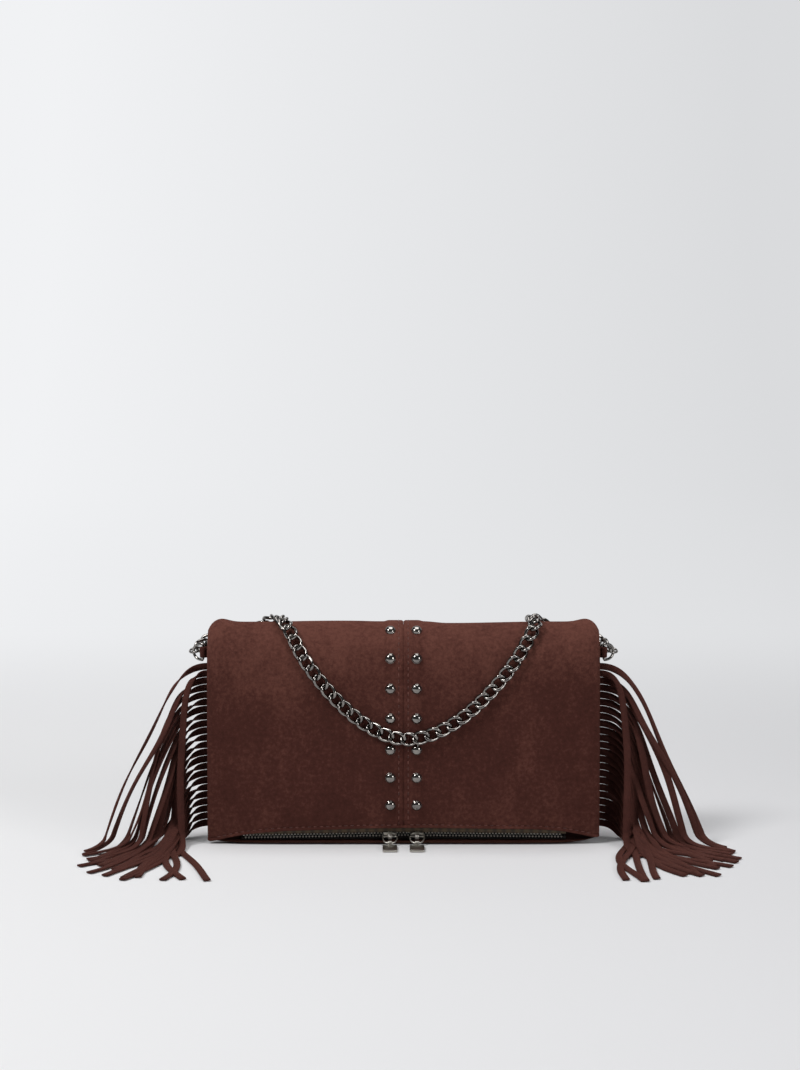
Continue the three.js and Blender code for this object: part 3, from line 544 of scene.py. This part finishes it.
def sag(t, x):
    """Shallow waves 60 to 300 mm long and up to 1.3 mm deep, with grooves of 0.35 mm under the seam's
    stitches and of 0.35 to 0.7 mm under the hem's, which pucker once a stitch."""
    run = t * section_length
    wave = 0.4 * np.sin(x / 31 + run / 47) + 0.3 * np.sin(x / 19 - run / 38 + 1.3)
    wave = wave + 0.24 * np.sin(run / 17 + x / 55) + 0.34 * np.sin(x / 9.5 + 0.4) * smoothstep(0.86, 1.0, t)
    free = smoothstep(13, 30, np.abs(x)) * (1 - smoothstep(112, 131, np.abs(x)))
    groove = 0.35 * np.exp(-((np.abs(x) - seam_stitch_row) / 0.55) ** 2)
    hem_run = (1 - t) * section_length
    pucker = 0.75 + 0.25 * np.cos(2 * np.pi * x / stitch_pitch)
    hem_groove = 0.7 * pucker * np.exp(-((hem_run - hem_stitch_row) / 0.8) ** 2)
    hem_roll = 0.3 * (1 - smoothstep(2.0, 4.2, hem_run))
    return (wave - 0.35) * free - groove - hem_groove + hem_roll


def suede_point(t, x):
    """The outer surface with its sag, moved along the normal."""
    return pouch_point(True, t, x, 0) + pouch_normal(t, x) * sag(t, x)[..., None]


# %% [markdown]
# ## Back panels
# The bag's back and the flap's front are one length of suede, sewn from two halves with a seam up the
# middle. Each half is a sheet 1.4 mm thick with its backing. Its grid is fine beside the seam and the
# hem, where the grooves are, and coarser where the suede only waves.

# %% Back panels
section_rows = np.concatenate([np.linspace(0, 0.975, 210), 1 - np.linspace(8.0, 0, 21)[1:] / section_length])
seam_columns = np.concatenate([[0.04, 0.25], np.arange(0.6, 14.2, 0.5), np.linspace(16, 120, 40),
                               np.linspace(121.5, half_width, 12)])


def back_panel(side):
    """Outside: the sagging surface. Inside: the smooth surface that lies 1.4 mm in."""
    t, x = np.meshgrid(section_rows, side * seam_columns, indexing="ij")
    return sheet_solid(suede_point(t, x), pouch_point(True, t, x, wall))


for word, side in both_sides:
    panel = make_piece(f"suede_back_{word}", *back_panel(side), suede, slot="suede")
    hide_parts(f"back_panel_{word}")

# %% [markdown]
# ## Front panel and lining
# The other length of suede runs forward under the bottom, up the body's front and down the inside of
# the flap to the back hem. Inside both hangs a closed pocket of lining.

# %% Front panel and lining
lip_reach, lip_under, lip_top = 9.5, 0.25, 1.6
lining_end, lining_width, lining_gap = 0.925, 0.87, 0.8


def floor_lip(end, is_under):
    """Rows that carry the back layer's end forward along the floor, where the pouch's weight presses
    it: by 9.5 mm in the middle and not at all at the side seams."""
    share = np.array([0.12, 0.3, 0.6, 0.85, 1.0])[:, None]
    edge = 0.4 * share ** 6
    low = lip_under + edge if is_under else lip_top - edge
    full = fullness(end[:, 0])
    y = end[:, 1] - lip_reach * full * share
    z = end[:, 2] + (low - end[:, 2]) * full * np.minimum(1, share / 0.3)
    return np.stack([np.broadcast_to(end[:, 0], y.shape), y, z], axis=-1)


def front_panel():
    """The inner section, with a rim on the floor that runs back to the bottom seam, and its lip."""
    rows = np.linspace(0, 1, 150)
    columns = np.concatenate([-seam_columns[::-1][:-1], seam_columns[1:]])
    t, x = np.meshgrid(rows, columns, indexing="ij")
    seam_y = pouch_point(True, 0, columns, wall + clearance)[:, 1]
    faces = []
    for inset in (0.0, wall):
        face = pouch_point(False, t, x, inset)
        rim_y = seam_y + (face[0, :, 1] - seam_y) * np.array([[0.0], [0.5]])
        rim = np.stack(as_arrays(columns, rim_y, inset), axis=-1)
        faces.append(np.concatenate([rim, face, floor_lip(face[-1], inset == 0)]))
    return sheet_solid(*faces)


inner_suede = make_piece("suede_front", *front_panel(), shaded_inner_suede, slot="suede")
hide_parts("front_panel")

# A thin dark twill: diagonal ribs 4 mm apart, one a little paler than the next, with a slight shine.
lining_look, tree, shader, place = new_material("twill_lining")
ribs = add_node(tree, "ShaderNodeTexWave", {"bands_direction": "DIAGONAL", "Scale": 1000 / 12,
                                            "Distortion": 0.4}, {"Vector": place}).outputs["Fac"]
lining_colour = colour_ramp(tree, ribs, [(0.2, 0x14100E), (0.8, 0x241B18)])
feed_shader(tree, shader, lining_colour, ribs, 0.3, 0.1)
shader.inputs["Roughness"].default_value = 0.8


def lining_pocket():
    """Rings round the section, one for each place along the width: outer wall up, inner wall down."""
    steps = np.linspace(0, lining_end, 90)
    columns = np.linspace(-lining_width, lining_width, 41) * half_width
    inset = wall + lining_gap
    t, x = np.meshgrid(steps, columns, indexing="ij")
    outer = pouch_point(True, t, x, inset + seam_ridge(x))
    inner = pouch_point(False, t, x, inset)
    return ring_solid(np.concatenate([outer, inner[::-1]]).transpose(1, 0, 2))


lining = make_piece("lining_pocket", *lining_pocket(), lining_look, slot="lining")
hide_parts("lining")

# %% [markdown]
# ## Topstitching
# Two rows of thread hold the seam allowances down on either side of the centre seam, and one row holds
# the hem. Each stitch is a short thread that dips into the suede at both ends, so a small rounded bar
# of a few dozen faces, sunk at its ends, is enough. All of them are made in one array.

# %% Stitches
# Polyester thread, a shade redder than the suede. Broad bands, 4 mm apart, make some stitches paler
# than others, and the shine is soft.
thread_look, tree, shader, place = new_material("polyester_thread")
turns = add_node(tree, "ShaderNodeTexWave", {"bands_direction": "DIAGONAL", "Scale": 100.0},
                 {"Vector": place}).outputs["Fac"]
thread_colour = colour_ramp(tree, turns, [(0.0, 0x472620), (1.0, 0x6A3B31)])
tree.links.new(thread_colour, shader.inputs["Base Color"])
shader.inputs["Roughness"].default_value = 0.6


def stitch_bars(centres, alongs, ups, length=3.1, radius=0.4):
    """Bars of 7 rings of 6 points: the ring's size follows a half circle at each end, and its height
    above the suede falls by 0.55 mm towards the ends."""
    share = np.linspace(-1, 1, 7)[:, None]
    size = radius * np.sqrt(np.clip(1.02 - share ** 4, 0, 1))
    drop = 0.18 - 0.55 * share ** 4
    place = centres[:, None] + alongs[:, None] * (share * length / 2) + ups[:, None] * drop
    ring = circle(np.cross(alongs, ups), ups, 6)
    rings = place[:, :, None] + ring[:, None] * size[..., None]
    return merged([ring_solid(bar) for bar in rings])


def stitch_row(t, x):
    """Stitches a pitch apart along a line on the suede. t and x each hold its start and its end."""
    t_fine, x_fine = np.linspace(*t, 1500), np.linspace(*x, 1500)
    line = suede_point(t_fine, x_fine)
    run = run_along(line)
    middles = np.arange(stitch_pitch, run[-1] - 1, stitch_pitch)
    centre = at_run(middles, run, line)
    along = unit(at_run(middles + 0.8, run, line) - centre)
    up = pouch_normal(np.interp(middles, run, t_fine), np.interp(middles, run, x_fine))
    return stitch_bars(centre, along, square_to(along, up))


hem_t = 1 - hem_stitch_row / section_length
for word, side in both_sides:
    row = stitch_row((0.012, 0.985), (side * seam_stitch_row, side * seam_stitch_row))
    hem = stitch_row((hem_t, hem_t), (side * 1.5, side * 131.5))
    make_piece(f"topstitch_{word}", *merged([row, hem]), thread_look, slot="suede")

# %% [markdown]
# ## Studs
# Each stud is a pressed metal dome with a flat rim. Its profile is turned round its own axis, which
# stands square to the suede. Black nickel gives it a dark mirror look.

# %% Metals


def metal_look(name, dark, pale, roughness, grain):
    """Plated metal: colour and gloss vary softly by handling, with a bump from marks of grain mm."""
    made, tree, shader, place = new_material(name)
    cloud = noise(tree, place, 6, detail=3.0)
    gloss = rescale(tree, cloud, 0.0, 1.0, roughness * 0.75, roughness * 1.3)
    tree.links.new(gloss, shader.inputs["Roughness"])
    colour = colour_ramp(tree, cloud, [(0.3, dark), (0.7, pale)])
    feed_shader(tree, shader, colour, noise(tree, place, grain), 0.12, 0.05)
    shader.inputs["Metallic"].default_value = 1.0
    return made


# Black nickel plating on steel: nearly a mirror, but dark, so only the lamps show bright in it.
black_nickel = metal_look("black_nickel_plating", 0x767270, 0x938F8A, 0.07, 0.8)
# Dull nickel on a zinc casting: paler and softer, with the faint grain of the mould.
dull_nickel = metal_look("satin_nickel_zinc", 0xA8A49C, 0xBDB9B1, 0.32, 0.4)

# %% Stud domes
stud_radius, stud_height, stud_column = 3.6, 2.3, 9.0
stud_heights = np.array([147.2, 129.0, 108.4, 88.0, 66.5, 47.1, 27.8])
dome_radius, dome_foot = stud_radius * 0.92, 0.36
arc = np.linspace(0, np.pi / 2, 9)
dome_rise = dome_foot + (stud_height - dome_foot) * np.sin(arc)
dome_arc = np.stack([dome_radius * np.cos(arc * 0.96), dome_rise], axis=-1)
stud_rim = [[stud_radius * 0.3, 0], [stud_radius * 0.97, 0], [stud_radius, 0.12], [stud_radius * 0.97, 0.3]]
stud_profile = np.concatenate([stud_rim, dome_arc])


def stud_dome(x, z):
    """The profile (radius, height) turned in 32 steps round the suede's normal."""
    t = front_station(x, z)
    up = pouch_normal(t, x)
    first = unit(np.cross(up, np.array([1.0, 0.3, 0.0])))
    seat = suede_point(t, x) + 0.05 * up
    away, rise = stud_profile[:, 0, None, None], stud_profile[:, 1, None, None]
    return ring_solid(seat + away * circle(first, np.cross(up, first), 32) + rise * up)


for word, side in both_sides:
    for i, z in enumerate(stud_heights):
        x = side * stud_column
        dome = make_piece(f"stud_dome_{word}_{i + 1}", *stud_dome(x, z), black_nickel, slot="gunmetal")
        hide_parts(f"stud_{word}_{i + 1}")

# %% [markdown]
# ## Where the chain hangs
# A D-ring sits in a suede strip in each side seam, a round ring passes through its bow, and the chain's
# last link hangs in that. The directions of the bow and of the pull decide all three.

# %% Ring places
ring_height, ring_reach, ring_bar, ring_bar_reach = 129.5, 8.5, 11.0, 4.1
ring_wire, jump_radius, jump_wire = 2.0, 3.9, 1.6
link_length, link_width, link_twist, link_wire, link_pitch = 5.35, 3.85, 1.35, 2.35, 8.3
# The last link hangs as the frame's does, whose half length is 5.1 and whose wire is 1.7 thick.
link_hang = 5.1 - 1.7 / 2


def ring_places(side):
    """The bar's centre, the bow's and the pull's directions, the round ring's centre, the last link's
    centre, and the direction that faces away from the bag there."""
    bar = np.array([side * (half_width + ring_bar_reach), float(middle_depth(ring_height)), ring_height])
    bow = np.array([side * 0.8, 0.6, 0.0])
    pull = unit(np.array([-side * 0.6, 0.72, 0.35]))
    jump = bar + bow * ring_reach + pull * (jump_radius - jump_wire / 2 - ring_wire / 2 - clearance)
    link = jump + pull * (jump_radius + link_hang - jump_wire / 2 - clearance)
    out = unit(np.array([side * pull[1], -side * pull[0], 0.0]))
    return bar, bow, pull, jump, link, out


def d_outline(bar, reach, steps):
    """A D: a straight bar, and a bow whose reach follows the cosine to the power 0.8."""
    angle = np.pi / 2 - np.linspace(0, 1, steps) * np.pi
    bow = np.stack([0.7 + (reach - 0.7) * np.abs(np.cos(angle)) ** 0.8, bar / 2 * np.sin(angle)], axis=-1)
    straight = np.stack([np.zeros(8), np.linspace(-bar / 2 + 1, bar / 2 - 1, 8)], axis=-1)
    return np.concatenate([straight, bow])


for word, side in both_sides:
    bar, bow, pull, jump, link, out = ring_places(side)
    outline = d_outline(ring_bar, ring_reach, 40)
    line = bar + outline[:, :1] * bow + outline[:, 1:] * np.array([0, 0, 1.0])
    wire = wire_loop(line, ring_wire / 2, 14, np.cross(bow, [0, 0, 1.0]))
    d_ring = make_piece(f"d_ring_wire_{word}", *wire, black_nickel, slot="gunmetal")
    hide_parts(f"d_ring_{word}")
    line = jump + jump_radius * circle(pull, out, 40)
    wire = wire_loop(line, jump_wire / 2, 14, np.cross(pull, out))
    ring = make_piece(f"jump_ring_wire_{word}", *wire, black_nickel, slot="gunmetal")
    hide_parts(f"jump_ring_{word}")

# %% [markdown]
# ## Curb chain
# A curb link starts as an oval of wire and is twisted until it lies flat in its neighbours. The oval's
# height follows the sine of twice its angle, which is that twist. The links are spaced evenly along a
# smooth route: from the ring, over the fold, down in a swag on the front and back up again.

# %% Chain route
swag_bottom, swag_top, swag_centre, swag_power = 74.4, fold_top - 4, 3.0, 1.9
swag_halves = (83.5, 87.5)
over_fold = 1.3


def chain_route():
    """Places and outward directions: hanging at both ends, laid over the fold, and on the front at
    heights that rise from the middle with the distance to the power 1.9."""
    rise = link_twist + link_wire / 2
    places, facings = [], []

    def lay(t, x, lift):
        facing = pouch_normal(t, x)
        places.append(suede_point(t, x) + facing * (rise + lift))
        facings.append(facing)

    def hang(side, links):
        _, _, pull, _, link, out = ring_places(side)
        places.append(link + pull * links * link_pitch)
        facings.append(out)

    behind = [(fold_station - 0.02, 89.5), (0.44, 100.0), (0.41, 113.0)]
    hang(-1, 0)
    hang(-1, 1)
    for t, x in behind[::-1]:
        lay(t, -x, over_fold)
    for share in np.linspace(-1, 1, 15):
        x = swag_centre + share * swag_halves[int(share >= 0)]
        z = swag_bottom + (swag_top - swag_bottom) * abs(share) ** swag_power
        over = over_fold * smoothstep(0.8, 1, abs(share)) + 0.5 * (1 - smoothstep(0, 0.25, abs(share)))
        lay(front_station(x, z), x, 0.1 + over)
    for t, x in behind:
        lay(t, x, over_fold)
    hang(1, 1)
    hang(1, 0)
    return np.array(places), np.array(facings)


def even_spline(knots, spacing):
    """Points a spacing apart on the curve through the knots, whose speed follows the square root of
    the distance between knots, with the knot number at each point."""
    ends = np.concatenate([[2 * knots[0] - knots[1]], knots, [2 * knots[-1] - knots[-2]]])
    gaps = np.linalg.norm(np.diff(ends, axis=0), axis=1) ** 0.5
    fine, numbers = [], []
    for i in range(len(knots) - 1):
        a, b, c, d = ends[i:i + 4]
        g0, g1, g2 = gaps[i:i + 3]
        start = ((b - a) / g0 - (c - a) / (g0 + g1) + (c - b) / g1) * g1
        stop = ((c - b) / g1 - (d - b) / (g1 + g2) + (d - c) / g2) * g1
        w = np.linspace(0, 1, 60, endpoint=False)[:, None]
        square, cubic = 3 * (c - b) - 2 * start - stop, 2 * (b - c) + start + stop
        fine.append(b + start * w + square * w ** 2 + cubic * w ** 3)
        numbers.append(i + w[:, 0])
    fine = np.concatenate(fine + [knots[-1:]])
    numbers = np.concatenate(numbers + [[len(knots) - 1]])
    run = run_along(fine)
    at = np.linspace(0, run[-1], round(run[-1] / spacing) + 1)
    return at_run(at, run, fine), np.interp(at, run, numbers), run[-1]


route, facings = chain_route()
link_centres, knot_numbers, chain_length = even_spline(route, link_pitch)
link_alongs = unit(np.gradient(link_centres, axis=0))
link_facings = at_run(knot_numbers, np.arange(len(facings)), facings)
link_ups = square_to(link_alongs, link_facings)
link_sides = np.cross(link_ups, link_alongs)
print("links:", len(link_centres), "chain mm:", round(chain_length))

# %% Chain links


def curb_link(centre, along, side, up):
    """Wire along (a cos, b sin, h sin of twice the angle), in 28 steps of 10 points."""
    turn = (np.arange(28) / 28 * 2 * np.pi)[:, None]
    line = (centre + link_length * np.cos(turn) * along + link_width * np.sin(turn) * side
            + link_twist * np.sin(2 * turn) * up)
    return wire_loop(line, link_wire / 2, 10, up)


chain = make_piece("curb_chain", *merged([curb_link(*four) for four in
                                          zip(link_centres, link_alongs, link_sides, link_ups)]),
                   black_nickel, slot="gunmetal")
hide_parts("chain")

# %% [markdown]
# ## Zip
# The zip's two tapes are sewn up inside the hems, with their teeth between them. The front tape is
# olive. The back one is painted nearly black, as painted shade in the mouth under the flap. The teeth
# are cast on the tapes' beaded edges, and the two rows stand a little apart all along, which leaves
# room for the necks of the sliders.

# %% Zip places
zip_half_length, tape_thickness = 112.0, 0.6
tape_edge = 2.3
# The tapes' sewn edges lie at these stations, about 9 mm inside the hems.
front_sewn, back_sewn = 1 - 9 / 300, 1 - 9 / 280
bead_centre, bead_half_width, bead_half_height = 2.1, 0.45, 0.6
zip_depth, zip_height, zip_falls = -25.6, 7.2, (0.016, 0.01)
zip_across = unit(np.array([0, 0.576, -0.818]))
zip_out = np.array([0, zip_across[2], -zip_across[1]])


def zip_point(x, across, out):
    """A place on the zip, whose line falls gently to both ends. It is moved across the zip in the
    mouth's sloping plane and out of that plane."""
    x, across, out = as_arrays(x, across, out)
    height = zip_height - np.abs(x) * np.where(x < 0, *zip_falls)
    base = np.stack([x, np.full(x.shape, zip_depth), height], axis=-1)
    return base + across[..., None] * zip_across + out[..., None] * zip_out


def tape_look(name, dark, pale):
    """Woven polyester tape: soft ribs 6 mm apart across it, crossed by finer threads."""
    made, tree, shader, place = new_material(name)
    ribs = add_node(tree, "ShaderNodeTexWave", {"bands_direction": "X", "Scale": 50.0}, {"Vector": place})
    woven = calculate(tree, "MULTIPLY_ADD", noise(tree, place, 0.5), 0.5, ribs.outputs["Fac"])
    feed_shader(tree, shader, colour_ramp(tree, woven, [(0.1, dark), (1.0, pale)]), woven, 0.5, 0.2)
    shader.inputs["Roughness"].default_value = 0.85
    return made


def zip_tape(is_front):
    """Rows: up inside the hem, at the hem's edge, and on to the bead. Its distance from the zip's plane
    shrinks with the cube of what is left to the bead, so that the slider runs clear of it."""
    side = -1 if is_front else 1
    x = np.linspace(-zip_half_length, zip_half_length, 160)
    sewn = front_sewn if is_front else back_sewn
    ridge = seam_ridge(x) if is_front else np.zeros_like(x)
    near_painted_light_fade, far = wall + clearance, wall + clearance + tape_thickness
    faces = []
    for inset, out in ((near_painted_light_fade, tape_thickness / 2), (far, -tape_thickness / 2)):
        bend = 0.995 if inset == far and not is_front else 0.999
        top = pouch_point(is_front, sewn, x, inset + ridge)
        hem = pouch_point(is_front, bend, x, inset + ridge)
        bead = zip_point(x, side * tape_edge, out)
        w = np.linspace(0, 1, 8)[1:, None, None]
        off_plane = ((hem - bead) @ zip_out)[None, :, None] * zip_out
        faces.append(np.concatenate([top[None], hem[None] * (1 - w) + bead[None] * w
                                     - off_plane * w * (1 - w) * (2 - w)]))
    return sheet_solid(*faces)


# %% Zip teeth
fine_pitch = 2.2
tooth_ring = np.array([[1, 0.6], [0.35, 1], [-0.35, 1], [-1, 0.6],
                       [-1, -0.6], [-0.35, -1], [0.35, -1], [1, -0.6]])


def zip_teeth(is_front):
    """One small tooth for each pitch, from the bead to its tip, wider at the head. The tips stop just
    short of the middle, where the sliders' necks run."""
    side = -1 if is_front else 1
    count = int(zip_half_length // fine_pitch)
    x = (np.arange(-count, count) + (0.0 if is_front else 0.5)) * fine_pitch
    reach = side * np.array([2.0, 1.5, 1.1, 0.72])
    half = np.array([0.5, 0.5, 0.62, 0.4])
    tall = np.array([0.8, 0.8, 1.0, 0.75])
    rings = zip_point(x[:, None, None] + half[None, :, None] * tooth_ring[:, 0],
                      reach[None, :, None] + 0 * tooth_ring[:, 0], tall[None, :, None] * tooth_ring[:, 1])
    return merged([ring_solid(tooth) for tooth in rings])


def tape_bead(is_front):
    """The cord along the tape's edge: an oval of 0.9 by 1.2 mm carried along the zip."""
    side = -1 if is_front else 1
    bead_x = np.linspace(-zip_half_length, zip_half_length, 120)
    turn = np.arange(8) / 8 * 2 * np.pi
    across = side * bead_centre + bead_half_width * np.cos(turn)
    return ring_solid(zip_point(bead_x[:, None], across, bead_half_height * np.sin(turn)))


# The back tape's near-black colour is painted shade, for the shadow in the mouth under the flap.
both_tapes = ((True, "front", tape_look("olive_zip_tape", 0x2C2318, 0x4B3D2B)),
              (False, "back", tape_look("painted_shade_back_tape", 0x0C0908, 0x1C1512)))
for is_front, word, look in both_tapes:
    woven = merged([zip_tape(is_front), tape_bead(is_front)])
    tape = make_piece(f"woven_tape_{word}", *woven, look, slot=f"tape_{word}")
    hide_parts(f"zip_tape_{word}")

for is_front, word, _ in both_tapes:
    teeth = make_piece(f"cast_teeth_{word}", *zip_teeth(is_front), dull_nickel, slot="nickel", smooth=False)
    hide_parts(f"zip_teeth_{word}")

# %% [markdown]
# ## Sliders and pulls
# The sliders and the tabs are small zinc castings. The frame already has their shape, so a merged copy
# of each gets a fine bevel, as a casting has. The pull's ring is a bent wire, made like the others.

# %% Cast pieces


def softened_copy(node, name, body, width, look):
    """A copy of a frame node, its corners merged and flat faces joined, with its edges bevelled."""
    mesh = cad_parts[node].data.copy()
    mesh.name = name
    shape = bmesh.new()
    shape.from_mesh(mesh)
    bmesh.ops.remove_doubles(shape, verts=shape.verts, dist=2e-6)
    bmesh.ops.dissolve_limit(shape, angle_limit=math.radians(2), verts=shape.verts, edges=shape.edges)
    shape.to_mesh(mesh)
    shape.free()
    mesh.polygons.foreach_set("use_smooth", np.ones(len(mesh.polygons), bool))
    mesh.materials.clear()
    mesh.materials.append(look)
    piece = add_object(name, mesh)
    bevel = piece.modifiers.new("cast_edge", "BEVEL")
    bevel.width = width / 1000
    bevel.segments = 2
    bevel.limit_method = "ANGLE"
    bevel.angle_limit = math.radians(35)
    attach(piece, body)
    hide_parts(node)
    print(f"{name}: {len(mesh.polygons)} faces before its bevel")


pull_tilt = math.radians(24)
pull_down = np.array([0, -math.cos(pull_tilt), -math.sin(pull_tilt)])
across_zip = np.array([1.0, 0, 0])
slider_bar_away, slider_bar_out = 9.3, 2.85
pull_ring_bar, pull_ring_reach, pull_ring_radius = 10, 8, 0.5
for word, side in both_sides:
    softened_copy(f"slider_{word}", f"cast_slider_{word}", f"slider_{word}", 0.15, dull_nickel)
    softened_copy(f"pull_tab_{word}", f"cast_tab_{word}", f"pull_tab_{word}", 0.25, dull_nickel)
    outline = d_outline(pull_ring_bar, pull_ring_reach, 36)
    bar = zip_point(side * slider_bar_away, 0, slider_bar_out)
    line = bar + outline[:, :1] * pull_down + outline[:, 1:] * across_zip
    wire = wire_loop(line, pull_ring_radius, 12, np.cross(across_zip, pull_down))
    ring = make_piece(f"pull_ring_wire_{word}", *wire,
                      dull_nickel, body=f"pull_ring_{word}", slot="nickel")
    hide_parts(f"pull_ring_{word}")

# %% [markdown]
# ## Ring strips
# A narrow strip of suede goes round each D-ring's bar, and both its ends are sewn into the side seam.

# %% Ring strips
strip_height, strip_leg = 7.5, 11.5


def ring_strip(side):
    """The strip's line in plan: out from the seam, round the bar, and back, swept 7.5 mm high."""
    bar, *_ = ring_places(side)
    radius = ring_wire / 2 + clearance + 0.5
    turn = np.linspace(np.radians(14), np.radians(346), 48)
    loop = np.stack([-np.cos(turn) * radius, np.sin(turn) * radius], axis=-1)
    leg = np.linspace(strip_leg, radius * 1.25, 12)
    up_leg = np.stack([-leg, np.full(12, 0.26) + 0.1 * np.exp(-((leg - 3) / 2) ** 2)], axis=-1)
    line = np.concatenate([up_leg, loop, up_leg[::-1] * [1, -1]])
    along = unit(np.gradient(line, axis=0))
    across = np.stack([along[:, 1], -along[:, 0]], axis=-1)
    half = 0.25 + 0.2 * smoothstep(4.5, 1.6, np.abs(line[:, 0] + 0.3))
    edge_w = np.array([1, 1, 0.7, -0.7, -1, -1, -0.7, 0.7]) * strip_height / 2
    edge_t = np.array([-0.6, 0.6, 1, 1, 0.6, -0.6, -1, -1])
    flat = line[:, None] + across[:, None] * (half[:, None] * edge_t)[..., None]
    rings = np.stack([bar[0] + side * flat[..., 0], bar[1] + flat[..., 1],
                      np.broadcast_to(bar[2] + edge_w, flat.shape[:2])], axis=-1)
    return ring_solid(rings)


for word, side in both_sides:
    strip = make_piece(f"suede_strip_{word}", *ring_strip(side), suede_strip, slot="suede")
    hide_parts(f"ring_tab_{word}")

# %% [markdown]
# ## Fringe
# The fringe is one piece of suede sewn into each side seam and cut into 23 strips, 5 mm apart and 165 mm
# long. A strip leaves the seam on edge and turns flat in 14 to 36 mm, because it bends easily only that
# way. Then it falls in a slope and runs out over the floor. The lowest turn furthest forward, so they fan
# out beside each other instead of piling up. Every strip is worked out from the same few numbers.

# %% Strips of the fringe
strand_count, strand_pitch, strand_width, strand_thickness = 23, 5.0, 4.7, 1.2
strand_length, fringe_foot = 165.0, 7.0
strand_steps, hanging_strip = 66, 21
header_inside, header_outside, header_half = 8.0, 1.5, 0.75


def scatter(seed):
    """A repeatable scatter between 0 and 1: the fraction of a large multiple of a sine."""
    wave = np.sin(np.asarray(seed, float) * 12.9898 + 4.1) * 43758.5453
    return wave - np.floor(wave)


def strand_numbers(side):
    """For each strip: its number and seed, how far it turns forward and how steeply it slopes, in
    radians, and in how many mm it droops and turns. One strip near the top hangs down in front."""
    index = np.arange(strand_count)
    seed = index + (40 if side > 0 else 0)
    high = index / (strand_count - 1)
    low_turn, low_slope, hanging_turn, hanging_slope = 105, 66, 84, 79
    top_turn, top_slope = (42, 58) if side < 0 else (32, 61)
    turn = low_turn + (top_turn - low_turn) * high + 2 * (scatter(seed + 200) - 0.5)
    slope = low_slope + (top_slope - low_slope) * high + 2 * (scatter(seed + 90) - 0.5)
    turn = np.where(index == hanging_strip, hanging_turn, turn)
    slope = np.where(index == hanging_strip, hanging_slope, slope)
    return index, seed, np.radians(turn), np.radians(slope), 20 + 2 * scatter(seed), 14 + 10 * (1 - high)


def strand_lines(side):
    """All centrelines at once: each step turns forward and down by the strip's own angles, levels out
    above the floor or the strips below it, and sways a few degrees to and fro. On the floor each strip
    curls outward by its own amount, the lower ones most. Shape (strip, step, 3)."""
    index, seed, forward, steep, droop, turning = strand_numbers(side)
    root = fringe_foot + strand_pitch * (index + 0.5)
    place = np.stack([np.full(strand_count, side * (half_width + 0.8)), middle_depth(root), root], axis=-1)
    lines = [place.copy()]
    step = strand_length / strand_steps
    sway = (0.16 + 0.34 * scatter(seed + 600)) * (0.4 + 0.6 * index / (strand_count - 1))
    phase = 2 * np.pi * scatter(seed + 500)
    curl = (1.2 * scatter(seed + 800) - 0.15) * (1 - index / (strand_count - 1))
    for i in range(1, strand_steps + 1):
        run = i * step
        loose = float(smoothstep(12, 50, run))
        turn = forward * (1 - np.exp(-run / turning)) + loose * sway * np.sin(run / 24 + phase)
        turn = turn - curl * float(smoothstep(40, strand_length, run))
        dip = 0.12 * loose * np.sin(run / 19 + 2 * phase)
        free = np.sin(np.clip(steep * (1 - np.exp(-((run / droop) ** 1.6))) + dip, 0, 1.5))
        stacked = 1.25 * index * (1 - smoothstep(45, 100, run))
        room = np.maximum(0, place[:, 2] - clearance - strand_thickness / 2 - 0.3 - stacked) / 10
        down = np.minimum(free, room)
        level = np.sqrt(1 - down * down)
        place = place + step * np.stack([side * level * np.cos(turn), -level * np.sin(turn), -down], axis=-1)
        lines.append(place.copy())
    return np.stack(lines, axis=1)


def strips(side):
    """Around each centreline, a flat section of 8 points. Its width turns from upright to level in 14
    to 36 mm, and then turns slowly on by a different amount in each strip."""
    lines = strand_lines(side)
    along = unit(np.gradient(lines, axis=1))
    level = unit(np.stack([along[..., 1], -along[..., 0], 0 * along[..., 0]], axis=-1))
    upright = np.cross(along, level)
    run = np.linspace(0, strand_length, strand_steps + 1)
    _, seed, *_ = strand_numbers(side)
    turned = run[None, :] / (14 + 22 * scatter(seed + 700))[:, None]
    lean = np.radians(90 - 8 * scatter(seed + 300))[:, None] * smoothstep(0, 1, turned)
    high_enough = smoothstep(3, 12, lines[..., 2])
    lean = lean + 1.5 * (scatter(seed + 400) - 0.5)[:, None] * smoothstep(20, 80, run)[None, :] * high_enough
    width = np.cos(lean)[..., None] * upright + np.sin(lean)[..., None] * level
    face = np.cross(along, width)
    w = np.array([-1, -0.93, 0.93, 1, 1, 0.93, -0.93, -1]) * strand_width / 2
    h = np.array([-0.6, -1, -1, -0.6, 0.6, 1, 1, 0.6]) * strand_thickness / 2
    rings = lines[:, :, None] + width[:, :, None] * w[:, None] + face[:, :, None] * h[:, None]
    rings[..., 2] = np.maximum(rings[..., 2], 0.15)
    return [ring_solid(strip) for strip in rings]


def fringe_header(side):
    """The uncut edge, which runs up inside the seam."""
    z = np.linspace(fringe_foot, fringe_foot + strand_count * strand_pitch, 40)
    y = middle_depth(z)
    x0, x1 = side * (half_width - header_inside), side * (half_width + header_outside)
    corners = [(x0, -header_half), (x1, -header_half), (x1, header_half), (x0, header_half)]
    rings = np.stack([np.stack([np.full(40, x), y + way, z], axis=-1) for x, way in corners], axis=1)
    return ring_solid(rings)


for word, side in both_sides:
    pieces = merged([fringe_header(side)] + strips(side))
    fringe = make_piece(f"cut_fringe_{word}", *pieces, suede_strip, slot="suede")
    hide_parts(f"fringe_{word}")
